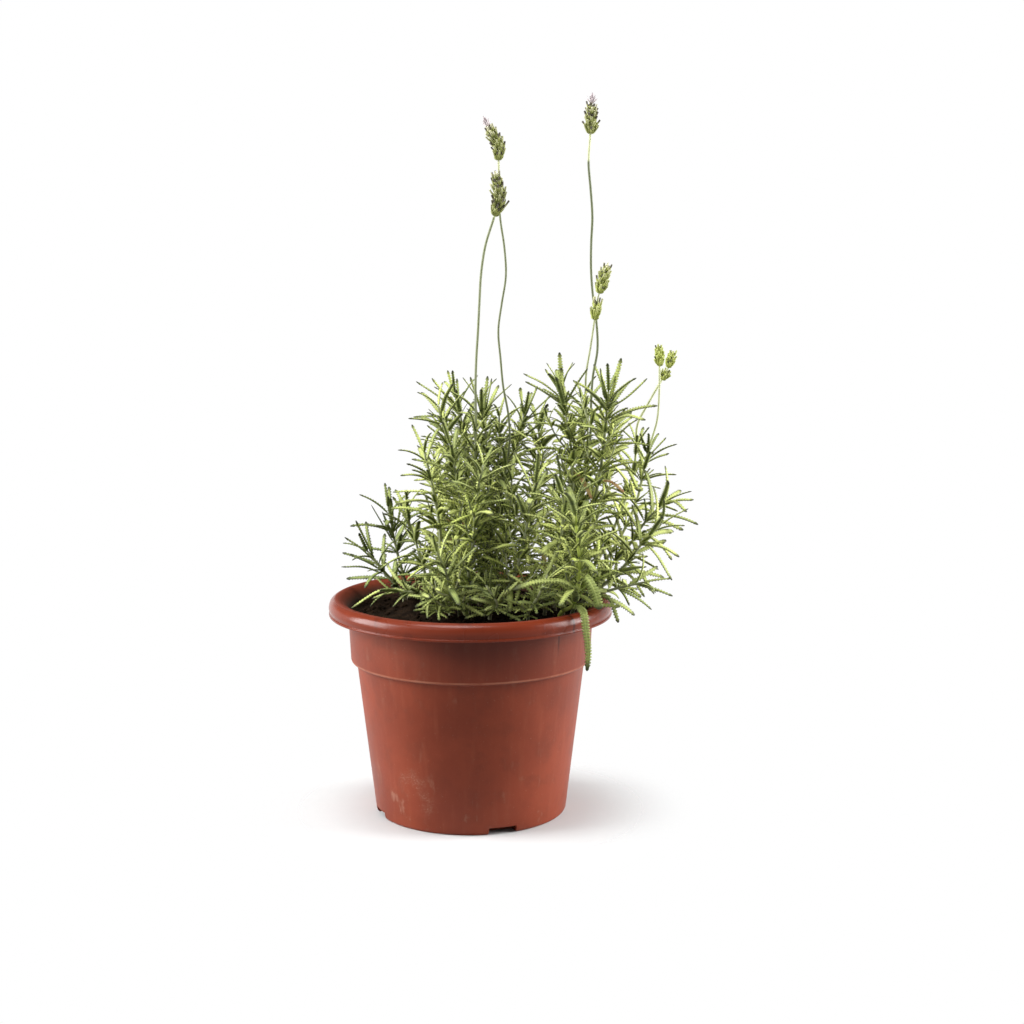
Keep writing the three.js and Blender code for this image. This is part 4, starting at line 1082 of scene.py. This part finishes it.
def soil_height(x, y):
    """The soil's top: it rises a little to the middle, has low lumps and is crumbly."""
    r = math.hypot(x, y)
    angle = math.atan2(x, -y)
    lumps = math.sin(r * 0.23 + 2 * angle) + math.cos(3 * angle - r * 0.11) * math.sin(r * 0.4)
    rise = SOIL_MOUND * (1 - (r / COLLAR_RADIUS) ** 2)
    height = SOIL_TOP + rise + SOIL_LUMP * lumps * min(1, max(0, (COLLAR_RADIUS - 4 - r) / 8))
    rough = noise.fractal(Vector((x * 0.16, y * 0.16, 3.1)), 0.9, 2.1, 4)
    fine = noise.noise(Vector((x * 0.33, y * 0.33, 7.7)))
    return height + 0.9 * rough + 0.6 * fine - 0.5


def add_lump(skin, centre, size, seed):
    """One crumb: a rounded block of uneven sides."""
    levels = [(-0.9, 0.4), (-0.4, 0.9), (0.35, 0.95), (0.85, 0.4)]
    corners = 6
    rings = np.zeros((len(levels), corners, 3))
    for i, (tall, wide) in enumerate(levels):
        for j in range(corners):
            angle = 2 * math.pi * j / corners
            r = size * wide * vary(0.7, 1.2, *seed, i, j)
            rings[i, j] = centre + np.array([math.cos(angle) * r, math.sin(angle) * r, tall * size * 0.8])
    skin.loft(rings, np.full(rings.shape, 0.5), np.array([draw(*seed, 9), 0.5, 0.0]))


def build_soil(material):
    """The fill of soil, from the pot's floor up to its crumbly top, and loose crumbs on it."""
    skin = Skin()
    wall = [(BASE_RADIUS - WALL - 1.6, FLOOR + GAP), (LEDGE_RADIUS - WALL - 0.2, LEDGE_HEIGHT + 0.4),
            (COLLAR_RADIUS - WALL - 0.8, LEDGE_HEIGHT + 2.4 + GAP), (COLLAR_RADIUS - WALL + 0.7, SOIL_TOP)]
    bearings = np.linspace(0, 2 * math.pi, SOIL_SEGMENTS, endpoint=False)
    rings = [[((r - GAP) * math.sin(t), -(r - GAP) * math.cos(t), z) for t in bearings] for r, z in wall]
    for r in np.concatenate([np.linspace(*SOIL_RINGS), [6, 2]]):
        flat = [(r * math.sin(t), -r * math.cos(t)) for t in bearings]
        rings.append([(x, y, soil_height(x, y)) for x, y in flat])
    rings = np.array(rings)
    skin.loft(rings, np.full(rings.shape, 0.5), np.array([0.5, 0.5, 0.0]))
    for i in range(CRUMBS):
        r = CRUMBS_RADIUS * math.sqrt(draw(i, 1))
        t = 2 * math.pi * draw(i, 2)
        x, y = r * math.sin(t), -r * math.cos(t)
        size = mix(0.5, 2.2, draw(i, 3) ** 2.5)
        add_lump(skin, np.array([x, y, soil_height(x, y) + 0.15 * size]), size, (i, 4))
    skin.piece("potting_soil", "soil", "soil", [material])


class Look:
    """A node material that is being put together."""

    def __init__(self, name):
        self.material = bpy.data.materials.new(name)
        self.material.use_nodes = True
        self.tree = self.material.node_tree
        self.tree.nodes.clear()
        self.shader = self.node("ShaderNodeBsdfPrincipled")
        out = self.node("ShaderNodeOutputMaterial")
        self.join(self.shader.outputs["BSDF"], out.inputs["Surface"])

    def node(self, kind, **settings):
        made = self.tree.nodes.new(kind)
        for key, value in settings.items():
            setattr(made, key, value)
        return made

    def join(self, output, socket):
        self.tree.links.new(output, socket)

    def put(self, socket, value):
        if isinstance(value, bpy.types.NodeSocket):
            self.join(value, socket)
        elif hasattr(socket.default_value, "__len__") and len(socket.default_value) == 4:
            socket.default_value = (*value, 1)
        else:
            socket.default_value = value

    def parts(self, vector):
        split = self.node("ShaderNodeSeparateXYZ")
        self.join(vector, split.inputs[0])
        return split.outputs

    def attribute(self, name):
        """The three parts of one of the mesh's own values."""
        found = self.node("ShaderNodeAttribute", attribute_name=name, attribute_type="GEOMETRY")
        return self.parts(found.outputs["Vector"])

    def math(self, operation, a, b=0.0, clamp=False):
        made = self.node("ShaderNodeMath", operation=operation, use_clamp=clamp)
        self.put(made.inputs[0], a)
        self.put(made.inputs[1], b)
        return made.outputs[0]

    def plus(self, a, b, clamp=False):
        return self.math("ADD", a, b, clamp)

    def minus(self, a, b, clamp=False):
        return self.math("SUBTRACT", a, b, clamp)

    def times(self, result, *others):
        for value in others:
            result = self.math("MULTIPLY", result, value)
        return result

    def size(self, value):
        return self.math("ABSOLUTE", value)

    def ramp(self, value, low, high, start=0.0, end=1.0):
        """A value carried smoothly from one range to another, and held at its ends."""
        made = self.node("ShaderNodeMapRange", interpolation_type="SMOOTHSTEP")
        numbers = {"Value": value, "From Min": low, "From Max": high, "To Min": start, "To Max": end}
        for key, number in numbers.items():
            self.put(made.inputs[key], number)
        return made.outputs["Result"]

    def blend(self, share, a, b):
        made = self.node("ShaderNodeMix", data_type="RGBA", blend_type="MIX")
        for i, value in ((0, share), (6, a), (7, b)):
            self.put(made.inputs[i], value)
        return made.outputs[2]

    def paint(self, colour, *coats):
        """A colour under coats of other colours, each with the share that it covers."""
        for share, coat in coats:
            colour = self.blend(share, colour, coat)
        return colour

    def place(self, scale=(1, 1, 1)):
        """The object's own coordinates, stretched along an axis."""
        made = self.node("ShaderNodeTexCoord")
        moved = self.node("ShaderNodeMapping")
        moved.inputs["Scale"].default_value = scale
        self.join(made.outputs["Object"], moved.inputs["Vector"])
        return moved.outputs[0]

    def noise(self, place, scale, detail=4.0, rough=0.55):
        made = self.node("ShaderNodeTexNoise")
        self.join(place, made.inputs["Vector"])
        for key, value in (("Scale", scale), ("Detail", detail), ("Roughness", rough)):
            made.inputs[key].default_value = value
        return made.outputs["Fac"]

    def distance(self, place, centre=None):
        """The length of a place's vector, or its distance from a centre."""
        made = self.node("ShaderNodeVectorMath", operation="DISTANCE" if centre else "LENGTH")
        self.join(place, made.inputs[0])
        if centre:
            made.inputs[1].default_value = centre
        return made.outputs["Value"]

    def bump(self, height, distance, strength=1.0, below=None):
        made = self.node("ShaderNodeBump")
        made.inputs["Distance"].default_value = distance
        made.inputs["Strength"].default_value = strength
        self.put(made.inputs["Height"], height)
        if below is not None:
            self.join(below, made.inputs["Normal"])
        return made.outputs["Normal"]

    def finish(self, colour, roughness, normal, **fixed):
        self.put(self.shader.inputs["Base Color"], colour)
        self.put(self.shader.inputs["Roughness"], roughness)
        self.put(self.shader.inputs["Normal"], normal)
        for key, value in fixed.items():
            self.shader.inputs[key.replace("_", " ")].default_value = value
        return self.material


def leaf_material():
    look = Look("toothed_leaf")
    across, along, upper = look.attribute("blade")
    tone, age, dry = look.attribute("growth")
    place = look.place()
    height = look.parts(place)[2]
    rib = look.size(across)
    mottle = look.noise(place, 260)
    patch = look.noise(place, 55, 3)
    young = look.blend(tone, (0.22, 0.26, 0.095), (0.62, 0.68, 0.24))
    old = look.blend(tone, (0.46, 0.54, 0.115), (0.73, 0.785, 0.235))
    # The underside colour is dark as painted shade; it also paints shade on the rolled edges and in the
    # notches
    under = look.blend(look.ramp(mottle, 0.35, 0.7), (0.034, 0.048, 0.012), (0.11, 0.14, 0.032))
    brown = look.blend(look.ramp(mottle, 0.35, 0.65), (0.26, 0.12, 0.05), (0.44, 0.28, 0.13))
    at_tip = look.times(look.ramp(along, 0.84, 0.98), look.ramp(age, 0.2, 0.8, 0.95, 0.65))
    colour = look.paint(
        look.blend(look.ramp(age, 0.1, 0.65), young, old),
        # painted shade: leaves low in the bush darker
        (look.ramp(height, 0.2, 0.155, 0, 0.5), (0.12, 0.17, 0.055)),
        (look.ramp(mottle, 0.42, 0.72, 0, 0.35), (0.62, 0.68, 0.19)),
        (look.ramp(patch, 0.4, 0.65, 0, 0.3), (0.14, 0.2, 0.025)),
        (look.ramp(rib, 0.2, 0.02, 0, 0.45), (0.6, 0.67, 0.22)),
        # painted shade along the rolled edges
        (look.ramp(rib, 0.6, 0.95, 0, 0.5), under),
        # painted shade on the underside and in the notches between the teeth
        (look.ramp(upper, 0.85, 0.1), under),
        (at_tip, (0.035, 0.04, 0.022)),
        (look.ramp(along, 0.12, 0.0, 0, 0.5), (0.42, 0.46, 0.17)),
        (dry, brown),
    )
    veins = look.math("SINE", look.plus(look.times(along, 78), look.times(rib, -5)))
    normal = look.bump(veins, 0.00006, 0.5)
    normal = look.bump(look.noise(place, 2600, 3), 0.00018, 0.45, normal)
    roughness = look.ramp(mottle, 0.3, 0.7, 0.5, 0.72)
    return look.finish(colour, roughness, normal, Sheen_Weight=0.02, Sheen_Roughness=0.4,
                       Specular_IOR_Level=0.2)


def stem_material():
    look = Look("square_stem")
    corner, _, _ = look.attribute("blade")
    tone, age, fresh = look.attribute("growth")
    mottle = look.noise(look.place(), 180)
    fibres = look.noise(look.place((1, 1, 0.08)), 2200, 3)
    bark = look.blend(look.ramp(fibres, 0.35, 0.65), (0.10, 0.065, 0.035), (0.24, 0.18, 0.10))
    colour = look.paint(
        look.blend(tone, (0.085, 0.105, 0.045), (0.62, 0.65, 0.38)),
        (fresh, (0.46, 0.54, 0.1)),
        (look.ramp(corner, 0.3, 1.0, 0, 0.15), (0.4, 0.44, 0.17)),
        (look.ramp(look.plus(age, look.times(mottle, 0.25)), 0.8, 1.1), bark),
        (look.ramp(mottle, 0.4, 0.75, 0, 0.25), (0.15, 0.18, 0.06)),
    )
    roughness = look.ramp(mottle, 0.3, 0.7, 0.45, 0.7)
    normal = look.bump(fibres, 0.0002, 0.5)
    return look.finish(colour, roughness, normal, Sheen_Weight=0.08, Specular_IOR_Level=0.4)


def calyx_material():
    look = Look("ribbed_calyx")
    rib, along, _ = look.attribute("blade")
    tone, age, high = look.attribute("growth")
    place = look.place()
    mottle = look.noise(place, 420)
    ripe = look.blend(tone, (0.15, 0.165, 0.04), (0.29, 0.305, 0.075))
    fresh = look.blend(tone, (0.4, 0.47, 0.06), (0.56, 0.62, 0.13))
    edge = look.plus(along, look.times(look.minus(mottle, 0.5), 0.35))
    cream = look.times(look.ramp(edge, 0.55, 0.9), look.ramp(high, 0.35, 0.9, 0.25, 0.8),
                       look.ramp(age, 0.1, 0.45, 0.3, 1))
    dark = look.blend(tone, (0.03, 0.024, 0.014), (0.085, 0.07, 0.04))
    dark = look.blend(look.ramp(age, 0.2, 0.6), (0.06, 0.07, 0.014), dark)
    dark_share = look.plus(tone, look.times(age, 0.55))
    colour = look.paint(
        look.blend(age, fresh, ripe),
        (look.ramp(rib, 0.2, 1.0, 0, 0.2), (0.5, 0.53, 0.19)),
        (look.ramp(mottle, 0.4, 0.7, 0, 0.3), (0.17, 0.2, 0.035)),
        (cream, (0.66, 0.63, 0.44)),
        (look.times(look.ramp(edge, 0.66, 0.84), look.ramp(dark_share, 0.85, 1.0)), dark),
    )
    roughness = look.ramp(mottle, 0.3, 0.7, 0.6, 0.85)
    normal = look.bump(look.noise(place, 3000, 3), 0.0003, 0.6)
    return look.finish(colour, roughness, normal, Sheen_Weight=0.2, Sheen_Roughness=0.5)


def floret_material():
    look = Look("lilac_floret")
    across, along, _ = look.attribute("blade")
    tone, _, _ = look.attribute("growth")
    place = look.place()
    mottle = look.noise(place, 600)
    colour = look.paint(
        look.blend(tone, (0.4, 0.34, 0.36), (0.72, 0.64, 0.64)),
        (look.ramp(along, 0.45, 0.0, 0, 0.7), (0.42, 0.3, 0.21)),
        (look.ramp(mottle, 0.4, 0.7, 0, 0.4), (0.76, 0.7, 0.69)),
        (look.ramp(look.size(across), 0.18, 0.0, 0, 0.4), (0.34, 0.27, 0.3)),
    )
    normal = look.bump(look.noise(place, 1800, 3), 0.00015, 0.5)
    return look.finish(colour, look.ramp(mottle, 0.3, 0.7, 0.5, 0.7), normal, Sheen_Weight=0.15)


def soil_material():
    look = Look("potting_soil")
    tone, _, _ = look.attribute("growth")
    place = look.place()
    coarse = look.noise(place, 120, 6, 0.65)
    fine = look.noise(place, 900, 5, 0.7)
    colour = look.paint(
        look.blend(look.ramp(coarse, 0.35, 0.65), (0.009, 0.0055, 0.0035), (0.028, 0.017, 0.01)),
        (look.ramp(tone, 0.75, 1.0, 0, 0.5), (0.05, 0.029, 0.015)),
        (look.ramp(fine, 0.62, 0.75, 0, 0.5), (0.09, 0.058, 0.032)),
    )
    normal = look.bump(coarse, 0.002, 0.5, look.bump(fine, 0.0012, 0.8))
    return look.finish(colour, look.ramp(coarse, 0.3, 0.7, 0.8, 0.98), normal, Specular_IOR_Level=0.03)


# Two pale scuffed patches low on the front of the pot, and the bearings of the front's strip of painted
# shade and of the stain below the rim
SCUFFED = (((-0.040, -0.062, 0.036), 0.017), ((-0.031, -0.064, 0.021), 0.012))
PAINTED_SHADE_BEARING = 0.15
STAIN_BEARING = 0.79

# A cone that widens by 53 mm a metre of height lies between the collar's two faces, which start at
# these radii from it. Then the height of the ledge's edge, and where the rim's crest starts inside.
COLLAR_SLOPE = 0.053
INNER_FACE = (0.0781, 0.0773)
OUTER_FACE = (0.0779, 0.0783)
LEDGE_LINE = 0.1103
CREST = (0.1405, 0.1425)


def pot_material():
    look = Look("worn_pot_plastic")
    place = look.place()
    x, y, z = look.parts(place)
    flat = look.node("ShaderNodeCombineXYZ")
    look.join(x, flat.inputs[0])
    look.join(y, flat.inputs[1])
    radius = look.distance(flat.outputs[0])
    bearing = look.math("ARCTAN2", x, look.times(y, -1))
    # How far round from the strip of painted shade on the front
    aside = look.size(look.minus(bearing, PAINTED_SHADE_BEARING))
    cloud = look.noise(place, 14, 4, 0.5)
    mottle = look.noise(place, 70, 5, 0.6)
    speck = look.noise(place, 900, 3, 0.6)
    streak = look.noise(look.place((1, 1, 0.07)), 160, 4, 0.6)

    # Scuffs, more of them low on the wall
    low = look.ramp(z, 0.055, 0.012)
    worn = look.times(look.ramp(mottle, 0.55, 0.68), look.ramp(streak, 0.48, 0.62),
                      look.plus(look.times(low, 0.2), 0.08))
    for centre, size in SCUFFED:
        near = look.ramp(look.distance(place, centre), size, size * 0.25)
        patch = look.times(near, look.ramp(speck, 0.47, 0.62, 0.25, 1),
                           look.ramp(mottle, 0.44, 0.64, 0, 0.25))
        worn = look.math("MAXIMUM", worn, patch)

    # Painted shadow under the rim, deepest across the front; the inner face darker in patches, and dirt on
    # the inside of the rim's crest
    painted_rim_shadow = look.times(look.ramp(z, 0.098, 0.136), look.ramp(radius, 0.0925, 0.0885))
    rim_shadow_strength = look.plus(look.ramp(aside, 0.95, 0.1, 0, 0.5), look.ramp(cloud, 0.3, 0.6, 0.02, 0.18))
    on_rim = look.ramp(radius, 0.0895, 0.093)
    from_cone = look.minus(radius, look.times(z, COLLAR_SLOPE))
    inside = look.times(look.ramp(from_cone, *INNER_FACE), look.ramp(z, 0.12, 0.125))
    inner_slope = look.times(look.ramp(radius, 0.0925, 0.0905), look.ramp(z, *CREST))
    dirt = look.times(inner_slope, look.ramp(mottle, 0.3, 0.6, 0.45, 0.9))

    # A painted highlight along the ledge's edge, and the stain
    edge = look.size(look.minus(z, LEDGE_LINE))
    edge = look.times(look.ramp(edge, 0.001, 0.0003), look.ramp(from_cone, *OUTER_FACE),
                      look.ramp(mottle, 0.3, 0.6, 0.1, 0.42))
    stain = look.size(look.minus(bearing, STAIN_BEARING))
    stain = look.times(look.ramp(stain, 0.016, 0.002), look.ramp(z, 0.121, 0.136),
                       look.ramp(mottle, 0.3, 0.55, 0.4, 0.9))
    colour = look.paint(
        look.blend(look.ramp(cloud, 0.3, 0.7), (0.168, 0.028, 0.0105), (0.248, 0.044, 0.0165)),
        (look.ramp(mottle, 0.45, 0.7, 0, 0.38), (0.14, 0.027, 0.011)),
        (look.ramp(streak, 0.5, 0.72, 0, 0.2), (0.29, 0.075, 0.036)),
        (worn, (0.5, 0.3, 0.21)),
        (look.times(look.ramp(speck, 0.66, 0.74), 0.3), (0.42, 0.24, 0.17)),
        # painted shadow under the rim
        (look.times(painted_rim_shadow, rim_shadow_strength), (0.05, 0.009, 0.005)),
        # painted shade: a darker strip down the front
        (look.ramp(aside, 0.75, 0.0, 0, 0.2), (0.08, 0.012, 0.006)),
        (look.times(on_rim, look.ramp(cloud, 0.25, 0.6, 0.45, 0.8)), (0.15, 0.022, 0.008)),
        (look.times(on_rim, look.ramp(mottle, 0.53, 0.64, 0, 0.4)), (0.07, 0.012, 0.006)),
        (look.times(inside, look.ramp(mottle, 0.3, 0.6, 0.4, 0.95)), (0.05, 0.02, 0.012)),
        (look.times(dirt, look.ramp(z, 0.1525, 0.147)), (0.05, 0.028, 0.018)),
        # painted highlight along the ledge's edge
        (edge, (0.48, 0.2, 0.12)),
        (stain, (0.05, 0.012, 0.008)),
    )

    # Glossier on the rim's outside and duller on the inside of its crest
    rough = look.plus(look.ramp(cloud, 0.3, 0.7, 0.4, 0.54), look.times(worn, 0.3))
    rough = look.minus(rough, look.ramp(radius, 0.0935, 0.0965, 0, 0.24), clamp=True)
    crest = look.times(look.ramp(radius, 0.0965, 0.0925), look.ramp(z, *CREST))
    rough = look.plus(rough, look.times(crest, 0.5), clamp=True)
    normal = look.bump(streak, 0.0003, 0.2, look.bump(mottle, 0.0005, 0.25))
    normal = look.bump(speck, 0.0001, 0.35, normal)
    return look.finish(colour, rough, normal, Specular_IOR_Level=0.24)


# The floor: its radius and sides, and the radii between which it fades out
FLOOR_RADIUS = 1.3
FLOOR_SIDES = 96
FLOOR_FADE = (0.066, 0.16)

# The studio is white at the horizon behind the object and at its sides, and dimmer overhead and in
# front. For each axis: a range of direction, and the strengths at the two ends of it.
STUDIO = (("Z", (0.13, 0.3, 1.0, 0.2)), ("Y", (-0.9, 0.3, 0.55, 1.0)))

# Soft lights: place, power, width and height
LIGHTS = {
    "left_light": ((-1.6, -0.1, 0.75), 51, 1.1, 1.1),
    "right_light": ((1.6, 0.05, 0.75), 51, 1.1, 1.1),
    "top_light": ((-0.3, -0.2, 2.0), 26, 0.9, 0.9),
    "front_light": ((-1.0, -1.0, 1.3), 4, 1.2, 0.2),
}
LIGHTS_AIM = Vector((0.02, 0, 0.2))

# The camera of the photograph, fitted to the pot's rim and foot: place, tilt down in degrees and lens
CAMERA_PLACE = (0.0292, -1.3, 0.411)
CAMERA_TILT = 8.65
CAMERA_LENS = 66.0
CAMERA_SENSOR = 36.0


def build_floor():
    """A pale floor that fades into the white studio."""
    bearings = [2 * math.pi * i / FLOOR_SIDES for i in range(FLOOR_SIDES)]
    points = [(0, 0, 0)] + [(FLOOR_RADIUS * math.sin(t), -FLOOR_RADIUS * math.cos(t), 0) for t in bearings]
    faces = [(0, 1 + i, 1 + (i + 1) % FLOOR_SIDES) for i in range(FLOOR_SIDES)]
    mesh = bpy.data.meshes.new("floor")
    mesh.from_pydata(points, [], faces)
    look = Look("pale_floor")
    place = look.place()
    grain = look.noise(place, 30)
    colour = look.blend(grain, (0.61, 0.61, 0.61), (0.64, 0.64, 0.64))
    look.finish(colour, 0.9, look.bump(grain, 0.0002, 0.1), Specular_IOR_Level=0.2)
    look.put(look.shader.inputs["Alpha"], look.ramp(look.distance(place), *FLOOR_FADE, 1, 0))
    mesh.materials.append(look.material)
    floor = bpy.data.objects.new("floor", mesh)
    bpy.context.collection.objects.link(floor)


def build_studio():
    """The white studio round the object, its lights and the camera."""
    world = bpy.data.worlds.new("studio")
    world.use_nodes = True
    tree = world.node_tree
    background = tree.nodes["Background"]
    split = tree.nodes.new("ShaderNodeSeparateXYZ")
    tree.links.new(tree.nodes.new("ShaderNodeTexCoord").outputs["Generated"], split.inputs[0])
    strength = tree.nodes.new("ShaderNodeMath")
    strength.operation = "MULTIPLY"
    for i, (axis, numbers) in enumerate(STUDIO):
        fall = tree.nodes.new("ShaderNodeMapRange")
        fall.interpolation_type = "SMOOTHSTEP"
        tree.links.new(split.outputs[axis], fall.inputs["Value"])
        for key, value in zip(("From Min", "From Max", "To Min", "To Max"), numbers):
            fall.inputs[key].default_value = value
        tree.links.new(fall.outputs["Result"], strength.inputs[i])
    tree.links.new(strength.outputs[0], background.inputs["Strength"])
    background.inputs["Color"].default_value = (1, 1, 1, 1)
    bpy.context.scene.world = world

    for name, (place, power, width, height) in LIGHTS.items():
        data = bpy.data.lights.new(name, "AREA")
        data.energy = power
        data.shape = "RECTANGLE"
        data.size = width
        data.size_y = height
        light = bpy.data.objects.new(name, data)
        light.location = place
        light.rotation_euler = (LIGHTS_AIM - Vector(place)).to_track_quat("-Z", "Y").to_euler()
        light.visible_camera = False
        bpy.context.collection.objects.link(light)

    data = bpy.data.cameras.new("camera")
    data.lens = CAMERA_LENS
    data.sensor_width = CAMERA_SENSOR
    camera = bpy.data.objects.new("camera", data)
    camera.location = CAMERA_PLACE
    camera.rotation_euler = (math.radians(90 - CAMERA_TILT), 0, 0)
    bpy.context.collection.objects.link(camera)
    bpy.context.scene.camera = camera
    bpy.context.scene.view_settings.view_transform = "Standard"


build_floor()
build_studio()
grow()
stem_look = stem_material()
build_pot(pot_material())
build_soil(soil_material())
build_stems([leaf_material(), stem_look])
calyx_look = calyx_material()
floret_look = floret_material()
for stem in FLOWERING:
    build_spike(stem, [calyx_look, stem_look])
    if stem.tuft:
        build_tuft(stem, [floret_look])
